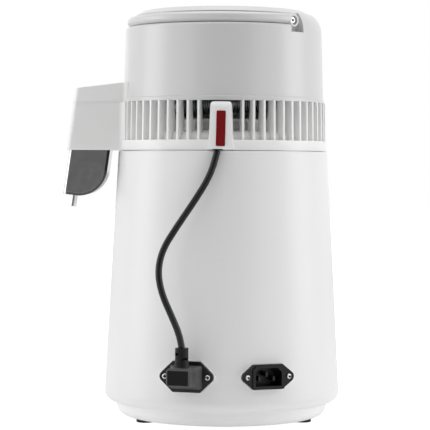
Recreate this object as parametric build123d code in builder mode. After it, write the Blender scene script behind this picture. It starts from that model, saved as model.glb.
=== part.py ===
from build123d import *
import os
from math import cos, radians, sin, sqrt, tan

# A countertop water distiller: a boiler base, and a lift-off head with its condenser, fan and spout.
# Millimetres. The origin is on the body's axis at counter height, +Z is up, the spout points
# towards -Y and the power sockets face +X.

os.makedirs("parts", exist_ok=True)

# Clearances
running_gap = 0.4  # between pieces that move apart
seat_gap = 0.1  # round a piece that is set into another
bearing_gap = 0.05  # radial, round a turning pin or shaft
sheet_gap = 0.6  # open seam between the head and the lower shell

# Feet and base tray
base_turn = 3.0  # the base pieces stand turned a little round the axis
foot_count = 3
foot_radius = 8.0
foot_drop = 2.4  # feet stand this far out below the tray
foot_depth = 4.0  # and are set this far into it
foot_inset = 15.0  # feet in from the tray's rim
foot_edge = 1.0
tray_inset = 12.1  # tray's rim in from the shell's foot
tray_height = 13.8
tray_floor = 3.0
tray_wall = 2.6
tray_edge = 10.0
boss_wall = 2.4
spigot_height = 8.0  # tray neck that centres the shell
vent_slot_count = 12
vent_slot_length = 22.0
vent_slot_width = 4.0
vent_slot_ring = 44.0

# Lower shell
shell_foot_radius = 112.1
shell_taper = 13.0  # narrower at the top by this
shell_height = 236.0
shell_wall = 2.2
shell_foot_edge = 9.0
shell_top_edge = 1.0
shell_lip = 14.6  # lip in from the shell's foot

# Boiler pot and what heats it
pot_inset = 7.1  # pot in from the shell's top
pot_floor_rise = 71.8  # pot's underside above the shell's foot
pot_sheet = 1.2
pot_corner = 10.0
pot_rim = 2.8
heater_inset = 30.0  # heater in from the pot
heater_thickness = 5.0
element_inset = 16.0  # element in from the heater's edge
element_width = 9.0
element_height = 8.0
element_arc = 320.0
terminal_radius = 2.0
terminal_length = 14.0
terminal_angle = 6.0  # terminals in from the element's ends
thermostat_step = 0.75  # in from the middle of the element's room
thermostat_radius = 8.0
thermostat_cap_radius = 5.5
thermostat_cap_height = 4.0
thermostat_body_height = 6.0
post_inset = 20.0  # posts in from the pot
post_radius = 5.0
post_count = 3
post_boss_height = 3.0

# Screws: head radius, head height, shank radius, shank length
foot_screw = (3.4, 2.0, 1.7, 9.0)
tray_screw = (3.8, 2.2, 2.0, 15.0)
socket_screw = (2.5, 1.4, 1.5, 8.0)
dome_screw = (3.0, 1.8, 1.5, 8.0)
cover_screw = (2.8, 1.8, 1.5, 11.0)
bracket_screw = (3.0, 1.8, 1.5, 8.0)
dome_screw_count = 6
dome_screw_step = 5.0  # dome's screws out from its wall
cover_screw_count = 3
cover_screw_angle = 61.5
bracket_screw_count = 3
cover_boss_radius = 4.0
foot_screw_recess = 1.2
tray_screw_recess = 0.3

# Power sockets on the +X side of the shell
socket_height = 49.6
outlet_angle = -16.4
inlet_angle = 21.3
socket_screw_spacing = 40.0
flange_thickness = 3.0
ear_radius = 5.0
land_margin = 0.6  # moulded flat land round each flange
land_depth = 6.0
land_proud = 0.3
outlet_flange_height = 27.8
outlet_flange_flat = 25.6
outlet_body = (31.0, 23.2)
body_corner = 3.0
outlet_floor = 3.0
inlet_flange_height = 22.5
inlet_flange_flat = 28.0
inlet_body = (29.0, 20.4)
inlet_mouth = (25.2, 16.4)
inlet_rim_wall = 2.6
inlet_rim_height = 1.2
inlet_depth = 16.0
inlet_floor = 3.0
key_cut = 4.0  # corners cut off a connector's outline
pin_width = 2.0
pin_height = 4.0
pin_spread = 14.0  # live to neutral
earth_rise = 4.0  # earth pin above the other two
pin_short = 5.0  # pins end this far inside the mouth
tail_length = 8.0

# Right-angle plug of the fan lead, in the outlet
core_size = (23.6, 15.8)  # tongue of the outlet, inside the plug's shroud
core_recess = 0.5
shroud_wall = 1.7
shroud_depth = 15.0
groove_floor_gap = 2.0
plug_shoulder_size = (30.0, 22.0)
plug_block_size = (22.3, 16.0)
plug_block_rise = 1.6
plug_taper_length = 9.0
plug_reach = 25.6  # from the flange to the plug's front
plug_corner = 2.4
plug_edge = 1.8
plug_pin_root = 6.0
relief_setback = 9.0  # relief's axis behind the plug's front
relief_shift = 1.1  # and to the side of its middle
relief_radius = 5.9
relief_root_radius = 6.8
relief_root_height = 8.0
relief_height = 18.1
relief_slot_height = 2.2
relief_slot_step = 4.2
relief_slot_depth = 3.4

# Start button on the front of the shell
button_angle = -130.0
button_height = 49.6
button_radius = 8.0
button_proud = 3.2
button_edge = 1.2
button_travel = 2.5
button_skirt = 1.2
bezel_radius = 13.0
bezel_thickness = 2.4
bezel_edge = 1.0
bezel_lip = 3.6
barrel_radius = 10.6
barrel_depth = 14.0
switch_thickness = 2.0
switch_size = 13.0
switch_depth = 11.0
stem_radius = 2.5
lens_radius = 2.6
lens_rise = 26.0  # indicator above the button
lens_proud = 1.2
lens_flange = 1.6
lens_depth = 6.0

# Head: gasket, steam dome and vent ring
gasket_thickness = 3.0
gasket_land = 2.4  # gasket each side of the pot's wall
dome_sheet = 1.2
dome_inset = 12.0  # dome in from the pot
dome_rise = 26.6
dome_corner = 4.0
band_step = 0.9  # band in from the shell's top
band_height = 9.4
band_wall = 2.6
band_edge = 1.0
vent_height = 35.7
hump_step = 6.5
hump_height = 8.8
slat_count = 60
slat_phase = 4.5
slat_thickness = 2.0
slat_step = 0.8  # slats in from the band
slat_top_step = 1.3
slat_depth_top = 9.6
slat_depth_foot = 13.8
slat_sink = 0.5
hoop_height = 4.0
hoop_inset = 12.2
tab_free_angle = 6.4  # no slat this near to the tab's middle
spout_free_angle = 21.0  # nor to the spout's

# Tab that the fan lead leaves by
tab_angle = -1.3
tab_foot_width = 25.6
tab_width = 22.2
tab_top_width = 19.6
tab_flare = 13.0  # height of the flared foot
tab_height = 43.9
tab_sink = 6.2  # into the band
tab_proud = 10.8  # out from it
tab_taper = 3.0
tab_corner = 3.5
tab_round = 7.0  # over the top
tab_edge = 1.6
sticker_width = 8.2
sticker_height = 31.7
sticker_thickness = 0.3
sticker_turn = -1.2
sticker_foot = 3.3  # above the tab's lower edge
gland_radius = 4.6
gland_length = 8.0

# Spout, its cup and nozzle
spout_tilt = 8.0
spout_half_width = 26.0
spout_length = 48.8  # out from the band
spout_wall = 2.4
spout_edge = 4.0
spout_blend = 6.0
hood_front_height = 12.7
hood_back_height = 18.1
cup_stand_off = 7.9  # cup's rear out from the band
cup_insert = 26.0
cup_drop = 41.7
cup_wall = 1.8
cup_heel = 27.0
cup_edge = 2.4
cup_bevel = (2.6, 0.7)  # along its side and into it
nozzle_radius = 3.4
nozzle_bore = 2.4
nozzle_drop = 11.0
nozzle_setback = 8.6

# Cover, its rim and the carry handle
cover_step = 3.3  # cover's foot in from the band
cover_taper = 2.1
cover_wall = 2.3
cover_height = 70.4  # from the vents to the ledge under the handle
cover_lip_height = 4.0
cover_lip_proud = 0.6
ledge_round = 2.6
ledge_thickness = 3.4
collar_inset = 8.8  # collar in from the cover's rim
collar_wall = 2.6
collar_height = 10.0  # above the ledge
shoulder_width = 0.9
shoulder_lip = 1.8  # stands over the collar
shoulder_drop = 3.3  # rounding starts below the ledge
shoulder_round = 21.6
cap_overhang = 0.2
cap_slope = 8.2
cap_height = 5.7
cap_side = 1.1
cap_plate = 2.6
cap_edge = 4.0
cap_skirt_wall = 4.0
cap_skirt_depth = 1.5
grille_rows = ((0.21, 0.45, 20), (0.51, 0.82, 40))  # inner and outer radius as shares of the cap's, slots
grille_slot_share = 0.72  # of the step between slots at their inner ends
handle_angle = 45.4  # direction of the handle's pivot line
pivot_rise = 3.9  # pivot line above the ledge
handle_room = 1.4  # between the collar and the handle
handle_foot_step = 4.0  # in from the cover's rim
handle_nose_step = 1.6
handle_height = 9.1
handle_lift = 0.6
handle_nose_rise = 3.2
handle_round = 4.3  # over the top of its nose
handle_edge = 0.8
handle_ear_radius = 5.8
ear_step = 2.4  # ear's face in from the cover's rim
pocket_drop = 10.8  # pocket floor below the pivot line
pocket_back = 10.5  # room for the raised handle
pin_radius = 2.5
pin_head_radius = 3.8
pin_head_thickness = 1.8
pin_head_sink = 1.2
pin_boss_radius = 4.2
pin_boss_depth = 5.0

# Condenser coil, fan and motor
tube_radius = 4.75
tube_bore = 3.9
tube_open_depth = 12.0
coil_inset = 13.0  # coil in from the dome's wall
coil_turns = 1.5
coil_pitch = 21.5
coil_end_angle = -35.0
coil_end_height = 10.5  # lowest turn above the dome
riser_bend = 20.0
riser_turn = 60.0
drain_length = 13.8  # out from the band
drain_height = 8.2
fin_radius = 10.0
fin_thickness = 0.6
fin_count = 54
fin_sides = 8
fan_inset = 24.0  # fan in from the collar
fan_hub_radius = 18.0
fan_hub_height = 13.0
fan_hub_edge = 2.0
blade_count = 7
blade_chord_root = 20.0
blade_chord_tip = 34.0
blade_pitch_root = 34.0
blade_pitch_tip = 20.0
blade_thickness = 1.4
shaft_radius = 2.5
shaft_length = 30.0
motor_radius = 27.0
motor_height = 16.0
motor_edge = 2.0
motor_nose_radius = 9.0
motor_nose_height = 2.6
bracket_thickness = 2.0
bracket_ring = 30.0
bracket_hole = 12.0
bracket_arm = 12.0
bracket_boss_inset = 6.4  # bosses in from the cover's rim
bracket_boss_radius = 5.5
bracket_boss_height = 12.0
bracket_angle = 30.0
bracket_drop = 10.0  # motor bracket below the ledge's underside
fan_gap = 1.6  # hub below the bracket

# Fan lead
cord_radius = 3.0
cord_points = [  # angle, distance out from the shell, share of the height from plug to tab
    (-4.01, 4.77, 0.9459),
    (-7.19, 7.33, 0.8496),
    (-13.30, 12.71, 0.7328),
    (-19.67, 20.72, 0.6046),
    (-24.06, 27.98, 0.4917),
    (-24.95, 31.53, 0.3846),
    (-23.28, 31.11, 0.2769),
    (-19.67, 27.73, 0.1647),
    (-16.82, 23.91, 0.0615),
]
cord_exit_depth = 6.0  # behind the tab's face
cord_exit_side = -5.3

# Radii worked out from the sizes above
shell_top_radius = shell_foot_radius - shell_taper
shell_lip_bore = shell_foot_radius - shell_lip
tray_radius = shell_foot_radius - tray_inset
foot_ring = tray_radius - foot_inset
pot_radius = shell_top_radius - pot_inset
pot_rim_radius = pot_radius + pot_rim
heater_radius = pot_radius - heater_inset
element_ring = heater_radius - element_inset
thermostat_ring = (element_ring - element_width / 2) / 2 - thermostat_step
post_ring = pot_radius - post_inset
gasket_inner = pot_radius - gasket_land
gasket_outer = pot_radius + gasket_land
dome_radius = pot_radius - dome_inset
dome_screw_ring = dome_radius + dome_screw_step
band_radius = shell_top_radius - band_step
hump_radius = band_radius - hump_step
slat_radius = band_radius - slat_step
slat_top_radius = band_radius - slat_top_step
hoop_inner = band_radius - hoop_inset
tab_root = band_radius - tab_sink
tab_reach = band_radius + tab_proud
cord_exit = (tab_reach - cord_exit_depth, cord_exit_side)  # where it leaves the tab's underside
spout_reach = band_radius + spout_length
cup_rear = band_radius + cup_stand_off
drain_reach = band_radius + drain_length
cover_foot_radius = band_radius - cover_step
cover_rim_radius = cover_foot_radius - cover_taper
collar_radius = cover_rim_radius - collar_inset
shoulder_top_radius = collar_radius + shoulder_width
cap_radius = collar_radius + cap_overhang
cap_top_radius = cap_radius - cap_slope
handle_inner = collar_radius + handle_room
handle_foot = cover_rim_radius - handle_foot_step
handle_nose = cover_rim_radius - handle_nose_step
ear_outer = cover_rim_radius - ear_step
coil_radius = dome_radius - coil_inset
fan_radius = collar_radius - fan_inset
bracket_boss_ring = cover_rim_radius - bracket_boss_inset
pot_depth = shell_height - pot_floor_rise

# Heights worked out from the sizes above
tray_bottom = foot_drop
shell_bottom = tray_bottom + tray_height
shell_top = shell_bottom + shell_height
pot_bottom = shell_top - pot_depth
pot_rim_top = shell_top + pot_sheet
head_bottom = shell_top + sheet_gap
gasket_top = pot_rim_top + gasket_thickness
dome_top = gasket_top + dome_rise
band_top = head_bottom + band_height
vent_top = band_top + vent_height
ledge = vent_top + cover_height
collar_top = ledge + collar_height
pivot_height = ledge + pivot_rise
bracket_bottom = ledge - ledge_thickness - bracket_drop
fan_top = bracket_bottom - fan_gap
coil_end_z = dome_top + coil_end_height
coil_start_z = coil_end_z + coil_turns * coil_pitch

# Angles of what repeats round the axis
foot_angle = base_turn + 60.0
post_angle = base_turn
pivot_angles = (handle_angle, handle_angle + 180.0)


def shell_radius(height):
    """Outside radius of the lower shell at a height."""
    share = (height - shell_bottom) / shell_height
    return shell_foot_radius + (shell_top_radius - shell_foot_radius) * share


def cover_radius(height):
    """Outside radius of the head's cover at a height."""
    share = (height - vent_top) / cover_height
    return cover_foot_radius + (cover_rim_radius - cover_foot_radius) * share


def on_circle(radius, angle, height):
    """Point at a radius and polar angle."""
    return Vector(radius * cos(radians(angle)), radius * sin(radians(angle)), height)


def facing_out(angle, reach, height):
    """Plane that faces straight out from the axis, with its own y upwards."""
    return Plane(
        origin=on_circle(reach, angle, height),
        x_dir=on_circle(1, angle + 90, 0),
        z_dir=on_circle(1, angle, 0),
    )


def half_plane(angle):
    """Upright plane through the axis: its x is the radius, its y the height."""
    return Plane(origin=(0, 0, 0), x_dir=on_circle(1, angle, 0), z_dir=on_circle(1, angle - 90, 0))


def corner(sketch, x, y):
    """The sketch's vertex nearest to a point."""
    return sketch.vertices().sort_by_distance((x, y))[0]


def flange_outline(flat, height, margin=0.0):
    """Socket flange: a flat-topped middle with a round ear at each screw."""
    Rectangle(flat + 2 * margin, height + 2 * margin)
    with GridLocations(socket_screw_spacing, 0, 2, 1):
        Circle(ear_radius + margin)
    make_hull()


def keyed_outline(width, height, cut):
    """Connector outline: a rectangle with its two upper corners cut off."""
    Polygon(
        (-width / 2, -height / 2),
        (width / 2, -height / 2),
        (width / 2, height / 2 - cut),
        (width / 2 - cut, height / 2),
        (cut - width / 2, height / 2),
        (-width / 2, height / 2 - cut),
        align=None,
    )


def pin_outlines(gap=0.0):
    """Live, neutral and earth pins of a connector."""
    live = (-pin_spread / 2, -earth_rise / 2)
    neutral = (pin_spread / 2, -earth_rise / 2)
    with Locations(live, neutral, (0, earth_rise / 2)):
        Rectangle(pin_width + 2 * gap, pin_height + 2 * gap)


def screw_set(plane, places, size):
    """Screws whose heads sit on a plane, with shanks going down into it."""
    head_radius, head_height, shank_radius, shank_length = size
    with BuildPart() as screws:
        with BuildSketch(plane):
            with Locations(*places):
                Circle(head_radius)
        extrude(amount=head_height)
        with BuildSketch(plane):
            with Locations(*places):
                Circle(shank_radius)
        extrude(amount=-shank_length)
    return screws.part


def ring_places(radius, count, start):
    """Points evenly spaced round the axis, in the plan."""
    points = [on_circle(radius, start + 360 * k / count, 0) for k in range(count)]
    return [(point.X, point.Y) for point in points]


def lean(height):
    """How far the spout's slanted front has moved out at a height."""
    return (head_bottom - height) * tan(radians(spout_tilt))


foot_places = ring_places(foot_ring, foot_count, foot_angle)
post_places = ring_places(post_ring, post_count, post_angle)
spout_side = Plane(origin=(0, 0, 0), x_dir=(0, -1, 0), z_dir=(-1, 0, 0))

# Base tray
with BuildPart() as base_tray:
    spigot_radius = shell_lip_bore - seat_gap
    with BuildSketch(Plane.XZ) as tray_profile:
        with BuildLine():
            Polyline(
                (0, tray_bottom),
                (tray_radius, tray_bottom),
                (tray_radius, shell_bottom),
                (spigot_radius, shell_bottom),
                (spigot_radius, shell_bottom + spigot_height),
                (spigot_radius - tray_wall, shell_bottom + spigot_height),
                (spigot_radius - tray_wall, tray_bottom + tray_floor),
                (0, tray_bottom + tray_floor),
                close=True,
            )
        make_face()
        fillet(corner(tray_profile, tray_radius, tray_bottom), tray_edge)
        inner_wall = spigot_radius - tray_wall
        fillet(corner(tray_profile, inner_wall, tray_bottom + tray_floor), tray_edge - tray_floor)
    revolve(axis=Axis.Z)
    with BuildSketch(Plane.XY.offset(tray_bottom + tray_floor)):
        with Locations(*foot_places):
            Circle(foot_radius + seat_gap + boss_wall)
    extrude(amount=foot_depth)
    with BuildSketch(Plane.XY.offset(tray_bottom + tray_floor)):
        with Locations(*post_places):
            Circle(tray_screw[0] + boss_wall)
    extrude(amount=post_boss_height)
    # Pockets and holes for the feet
    with BuildSketch(Plane.XY.offset(tray_bottom)):
        with Locations(*foot_places):
            Circle(foot_radius + seat_gap)
    extrude(amount=foot_depth, mode=Mode.SUBTRACT)
    with BuildSketch(Plane.XY.offset(tray_bottom)):
        with Locations(*foot_places):
            Circle(foot_screw[2] + seat_gap)
    extrude(amount=tray_floor + foot_depth, mode=Mode.SUBTRACT)
    # Holes for the screws that pull the tray up to the posts
    with BuildSketch(Plane.XY.offset(tray_bottom)):
        with Locations(*post_places):
            Circle(tray_screw[0] + running_gap)
    extrude(amount=tray_screw[1] + tray_screw_recess, mode=Mode.SUBTRACT)
    with BuildSketch(Plane.XY.offset(tray_bottom)):
        with Locations(*post_places):
            Circle(tray_screw[2] + seat_gap)
    extrude(amount=tray_floor + post_boss_height, mode=Mode.SUBTRACT)
    # Cooling slots under the heater
    with BuildSketch(Plane.XY.offset(tray_bottom)):
        with PolarLocations(vent_slot_ring, vent_slot_count, post_angle + 180 / vent_slot_count):
            SlotOverall(vent_slot_length, vent_slot_width)
    extrude(amount=tray_floor, mode=Mode.SUBTRACT)

# Rubber feet
with BuildPart() as feet:
    with BuildSketch():
        with Locations(*foot_places):
            Circle(foot_radius)
    extrude(amount=foot_drop + foot_depth)
    fillet(feet.faces().sort_by(Axis.Z)[:foot_count].edges(), foot_edge)
    with BuildSketch():
        with Locations(*foot_places):
            Circle(foot_screw[0] + running_gap)
    extrude(amount=foot_screw_recess + foot_screw[1], mode=Mode.SUBTRACT)
    with BuildSketch():
        with Locations(*foot_places):
            Circle(foot_screw[2] + seat_gap)
    extrude(amount=foot_drop + foot_depth, mode=Mode.SUBTRACT)

downward = Plane(origin=(0, 0, 0), x_dir=(1, 0, 0), z_dir=(0, 0, -1))


def below(height, places, size):
    """Screws driven upwards, with their heads hanging below a height."""
    flipped = [(x, -y) for x, y in places]
    return screw_set(downward.offset(-height), flipped, size)


with BuildPart() as foot_screws:
    add(below(foot_screw_recess + foot_screw[1], foot_places, foot_screw))

with BuildPart() as tray_screws:
    add(below(tray_bottom + tray_screw_recess + tray_screw[1], post_places, tray_screw))

# Posts that carry the pot and take the tray's screws
with BuildPart() as support_posts:
    post_foot = tray_bottom + tray_floor + post_boss_height
    with BuildSketch(Plane.XY.offset(post_foot)):
        with Locations(*post_places):
            Circle(post_radius)
    extrude(amount=pot_bottom - post_foot)
    with BuildSketch(Plane.XY.offset(post_foot)):
        with Locations(*post_places):
            Circle(tray_screw[2] + seat_gap)
    extrude(amount=tray_screw[3], mode=Mode.SUBTRACT)

# Seats of the sockets and the button on the shell
outlet_seat = facing_out(
    outlet_angle,
    shell_radius(socket_height - outlet_flange_height / 2) + land_proud,
    socket_height,
)
inlet_seat = facing_out(
    inlet_angle,
    shell_radius(socket_height - inlet_flange_height / 2) + land_proud,
    socket_height,
)
button_seat = facing_out(
    button_angle,
    shell_radius(button_height - bezel_radius) + land_proud,
    button_height,
)
lens_height = button_height + lens_rise
lens_seat = facing_out(button_angle, shell_radius(lens_height), lens_height)
land_cut = land_depth + shell_wall

# Lower shell
with BuildPart() as lower_shell:
    shell_top_bore = pot_radius + running_gap
    with BuildSketch(Plane.XZ) as shell_profile:
        with BuildLine():
            Polyline(
                (shell_lip_bore, shell_bottom),
                (shell_foot_radius, shell_bottom),
                (shell_top_radius, shell_top),
                (shell_top_bore, shell_top),
                (shell_top_bore, shell_top - shell_wall),
                (shell_radius(shell_top - shell_wall) - shell_wall, shell_top - shell_wall),
                (shell_radius(shell_bottom + shell_wall) - shell_wall, shell_bottom + shell_wall),
                (shell_lip_bore, shell_bottom + shell_wall),
                close=True,
            )
        make_face()
        fillet(corner(shell_profile, shell_foot_radius, shell_bottom), shell_foot_edge)
        inside_foot = shell_radius(shell_bottom + shell_wall) - shell_wall
        fillet(corner(shell_profile, inside_foot, shell_bottom + shell_wall), shell_foot_edge - shell_wall)
        fillet(corner(shell_profile, shell_top_radius, shell_top), shell_top_edge)
    revolve(axis=Axis.Z)
    # Flat lands that the sockets and the button sit on
    with BuildSketch(outlet_seat):
        flange_outline(outlet_flange_flat, outlet_flange_height, land_margin)
    extrude(amount=-land_depth)
    with BuildSketch(inlet_seat):
        flange_outline(inlet_flange_flat, inlet_flange_height, land_margin)
    extrude(amount=-land_depth)
    with BuildSketch(button_seat):
        Circle(bezel_radius + land_margin)
    extrude(amount=-land_depth)
    # Cut-outs
    with BuildSketch(outlet_seat):
        RectangleRounded(outlet_body[0] + 2 * seat_gap, outlet_body[1] + 2 * seat_gap, body_corner)
    extrude(amount=-land_cut, mode=Mode.SUBTRACT)
    with BuildSketch(inlet_seat):
        RectangleRounded(inlet_body[0] + 2 * seat_gap, inlet_body[1] + 2 * seat_gap, body_corner)
    extrude(amount=-land_cut, mode=Mode.SUBTRACT)
    with BuildSketch(outlet_seat, inlet_seat):
        with GridLocations(socket_screw_spacing, 0, 2, 1):
            Circle(socket_screw[2] + seat_gap)
    extrude(amount=-land_cut, mode=Mode.SUBTRACT)
    with BuildSketch(button_seat):
        Circle(barrel_radius + seat_gap)
    extrude(amount=-land_cut, mode=Mode.SUBTRACT)
    with BuildSketch(lens_seat):
        Circle(lens_radius + seat_gap)
    extrude(amount=land_depth, both=True, mode=Mode.SUBTRACT)

# Boiler pot
with BuildPart() as boiler_pot:
    with BuildSketch(Plane.XZ) as pot_profile:
        with BuildLine():
            Polyline(
                (0, pot_bottom),
                (pot_radius, pot_bottom),
                (pot_radius, shell_top),
                (pot_rim_radius, shell_top),
                (pot_rim_radius, pot_rim_top),
                (pot_radius - pot_sheet, pot_rim_top),
                (pot_radius - pot_sheet, pot_bottom + pot_sheet),
                (0, pot_bottom + pot_sheet),
                close=True,
            )
        make_face()
        fillet(corner(pot_profile, pot_radius, pot_bottom), pot_corner)
        fillet(corner(pot_profile, pot_radius - pot_sheet, pot_bottom + pot_sheet), pot_corner - pot_sheet)
    revolve(axis=Axis.Z)

# Heater plate with its tubular element
heater_bottom = pot_bottom - heater_thickness
with BuildPart() as heater_plate:
    with BuildSketch(Plane.XY.offset(heater_bottom)):
        Circle(heater_radius)
    extrude(amount=heater_thickness)
    chamfer(heater_plate.faces().sort_by(Axis.Z)[0].edges(), heater_thickness / 4)

with BuildPart() as heater_element:
    with BuildSketch(half_plane(post_angle + (360 - element_arc) / 2)):
        with BuildLine():
            inner = element_ring - element_width / 2
            outer = element_ring + element_width / 2
            straight = element_height - element_width / 2
            Line((inner, heater_bottom), (outer, heater_bottom))
            Line((outer, heater_bottom), (outer, heater_bottom - straight))
            RadiusArc((outer, heater_bottom - straight), (inner, heater_bottom - straight), element_width / 2)
            Line((inner, heater_bottom - straight), (inner, heater_bottom))
        make_face()
    revolve(axis=Axis.Z, revolution_arc=element_arc)
    end_step = (360 - element_arc) / 2 + terminal_angle
    with BuildSketch(Plane.XY.offset(heater_bottom - straight)):
        with Locations(
            on_circle(element_ring, post_angle + end_step, 0),
            on_circle(element_ring, post_angle - end_step, 0),
        ):
            Circle(terminal_radius)
    extrude(amount=-element_width / 2 - terminal_length)

with BuildPart() as thermostats:
    thermostat_places = ring_places(thermostat_ring, 2, post_angle)
    with BuildSketch(Plane.XY.offset(heater_bottom)):
        with Locations(*thermostat_places):
            Circle(thermostat_cap_radius)
    extrude(amount=-thermostat_cap_height)
    with BuildSketch(Plane.XY.offset(heater_bottom - thermostat_cap_height)):
        with Locations(*thermostat_places):
            Circle(thermostat_radius)
    extrude(amount=-thermostat_body_height)

# Power outlet for the fan lead: a tongue with three slots inside a groove
outlet_front = outlet_seat.offset(flange_thickness)
groove_depth = shroud_depth + groove_floor_gap
shroud_inner = (core_size[0] + 2 * running_gap, core_size[1] + 2 * running_gap)
shroud_outer = (shroud_inner[0] + 2 * shroud_wall, shroud_inner[1] + 2 * shroud_wall)
groove_size = (shroud_outer[0] + 2 * running_gap, shroud_outer[1] + 2 * running_gap)
with BuildPart() as power_outlet:
    with BuildSketch(outlet_seat):
        flange_outline(outlet_flange_flat, outlet_flange_height)
    extrude(amount=flange_thickness)
    with BuildSketch(outlet_seat):
        RectangleRounded(*outlet_body, body_corner)
    extrude(amount=flange_thickness - groove_depth - outlet_floor)
    with BuildSketch(outlet_front):
        keyed_outline(*groove_size, key_cut)
    extrude(amount=-groove_depth, mode=Mode.SUBTRACT)
    with BuildSketch(outlet_front.offset(-groove_depth)):
        keyed_outline(*core_size, key_cut)
    extrude(amount=groove_depth - core_recess)
    with BuildSketch(outlet_front):
        pin_outlines(running_gap)
    extrude(amount=-groove_depth - outlet_floor, mode=Mode.SUBTRACT)
    with BuildSketch(outlet_front):
        with GridLocations(socket_screw_spacing, 0, 2, 1):
            Circle(socket_screw[2] + seat_gap)
    extrude(amount=-flange_thickness, mode=Mode.SUBTRACT)

with BuildPart() as outlet_contacts:
    with BuildSketch(outlet_front.offset(-groove_depth - outlet_floor - tail_length)):
        pin_outlines(running_gap - seat_gap)
    extrude(amount=outlet_floor + tail_length)

# Power inlet: a mouth with three pins behind a raised rim
inlet_front = inlet_seat.offset(flange_thickness)
inlet_lip = inlet_front.offset(inlet_rim_height)
inlet_rim = (inlet_mouth[0] + 2 * inlet_rim_wall, inlet_mouth[1] + 2 * inlet_rim_wall)
with BuildPart() as power_inlet:
    with BuildSketch(inlet_seat):
        flange_outline(inlet_flange_flat, inlet_flange_height)
    extrude(amount=flange_thickness)
    with BuildSketch(inlet_lip):
        keyed_outline(*inlet_rim, key_cut)
    extrude(amount=-inlet_rim_height - flange_thickness)
    with BuildSketch(inlet_seat):
        RectangleRounded(*inlet_body, body_corner)
    extrude(amount=flange_thickness + inlet_rim_height - inlet_depth - inlet_floor)
    with BuildSketch(inlet_lip):
        keyed_outline(*inlet_mouth, key_cut)
    extrude(amount=-inlet_depth, mode=Mode.SUBTRACT)
    with BuildSketch(inlet_lip):
        pin_outlines(seat_gap)
    extrude(amount=-inlet_depth - inlet_floor, mode=Mode.SUBTRACT)
    with BuildSketch(inlet_front):
        with GridLocations(socket_screw_spacing, 0, 2, 1):
            Circle(socket_screw[2] + seat_gap)
    extrude(amount=-flange_thickness, mode=Mode.SUBTRACT)

with BuildPart() as inlet_pins:
    with BuildSketch(inlet_lip.offset(-inlet_depth - inlet_floor - tail_length)):
        pin_outlines()
    extrude(amount=inlet_depth + inlet_floor + tail_length - pin_short)

with BuildPart() as socket_screws:
    ear_places = [(-socket_screw_spacing / 2, 0), (socket_screw_spacing / 2, 0)]
    add(screw_set(outlet_front, ear_places, socket_screw))
    add(screw_set(inlet_front, ear_places, socket_screw))

# Right-angle plug
plug_nose = outlet_front.offset(plug_reach)
relief_axis = outlet_front.offset(plug_reach - relief_setback).origin + outlet_front.x_dir * relief_shift
relief_foot = socket_height + plug_block_rise
relief_top = relief_foot + plug_block_size[1] / 2 + relief_height
with BuildPart() as plug_body:
    with BuildSketch(outlet_front):
        RectangleRounded(*plug_shoulder_size, plug_corner)
    with BuildSketch(outlet_front.offset(plug_taper_length)):
        with Locations((0, plug_block_rise)):
            RectangleRounded(*plug_block_size, plug_corner)
    loft()
    with BuildSketch(outlet_front.offset(plug_taper_length)):
        with Locations((0, plug_block_rise)):
            RectangleRounded(*plug_block_size, plug_corner)
    extrude(amount=plug_reach - plug_taper_length)
    chamfer(plug_body.faces().sort_by_distance(plug_nose.origin)[0].edges(), plug_edge)
    # Strain relief, a tapered root and a stem with alternate slots
    relief_plane = Plane(
        origin=(relief_axis.X, relief_axis.Y, relief_foot),
        x_dir=on_circle(1, outlet_angle + 45, 0),
    )
    with BuildSketch(relief_plane):
        Circle(relief_radius)
    extrude(amount=relief_top - relief_foot)
    root_plane = relief_plane.offset(plug_block_size[1] / 2)
    with BuildSketch(root_plane):
        Circle(relief_root_radius)
    with BuildSketch(root_plane.offset(relief_root_height)):
        Circle(relief_radius)
    loft()
    for step in range(3):
        slot_plane = relief_plane.offset(relief_top - relief_foot - (step + 1) * relief_slot_step)
        across = relief_radius - relief_slot_depth / 2
        sides = [(across, 0), (-across, 0)] if step % 2 else [(0, across), (0, -across)]
        size = (relief_slot_depth, relief_radius) if step % 2 else (relief_radius, relief_slot_depth)
        with BuildSketch(slot_plane):
            with Locations(*sides):
                Rectangle(*size)
        extrude(amount=-relief_slot_height, mode=Mode.SUBTRACT)
    # Shroud that goes into the outlet's groove, and the seats of the pins
    with BuildSketch(outlet_front):
        keyed_outline(*shroud_outer, key_cut)
    extrude(amount=-shroud_depth)
    with BuildSketch(outlet_front):
        keyed_outline(*shroud_inner, key_cut)
    extrude(amount=-shroud_depth, mode=Mode.SUBTRACT)
    with BuildSketch(outlet_front):
        pin_outlines(bearing_gap)
    extrude(amount=plug_pin_root, mode=Mode.SUBTRACT)

with BuildPart() as plug_pins:
    with BuildSketch(outlet_front.offset(plug_pin_root)):
        pin_outlines()
    extrude(amount=-plug_pin_root - shroud_depth + pin_short)

# Start button, its bezel, switch and indicator
bezel_front = button_seat.offset(bezel_thickness)
lens_front = lens_seat.offset(lens_proud)
with BuildPart() as button_bezel:
    with BuildSketch(button_seat):
        Circle(bezel_radius)
    extrude(amount=bezel_thickness)
    fillet(button_bezel.faces().sort_by_distance(bezel_front.origin)[0].edges(), bezel_edge)
    with BuildSketch(button_seat):
        Circle(barrel_radius)
    extrude(amount=-barrel_depth)
    with BuildSketch(bezel_front):
        Circle(button_radius + running_gap)
    extrude(amount=-bezel_thickness - barrel_depth, mode=Mode.SUBTRACT)
    with BuildSketch(bezel_front.offset(-bezel_lip)):
        Circle(button_radius + button_skirt + running_gap)
    extrude(amount=-bezel_thickness - barrel_depth + bezel_lip, mode=Mode.SUBTRACT)

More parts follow.
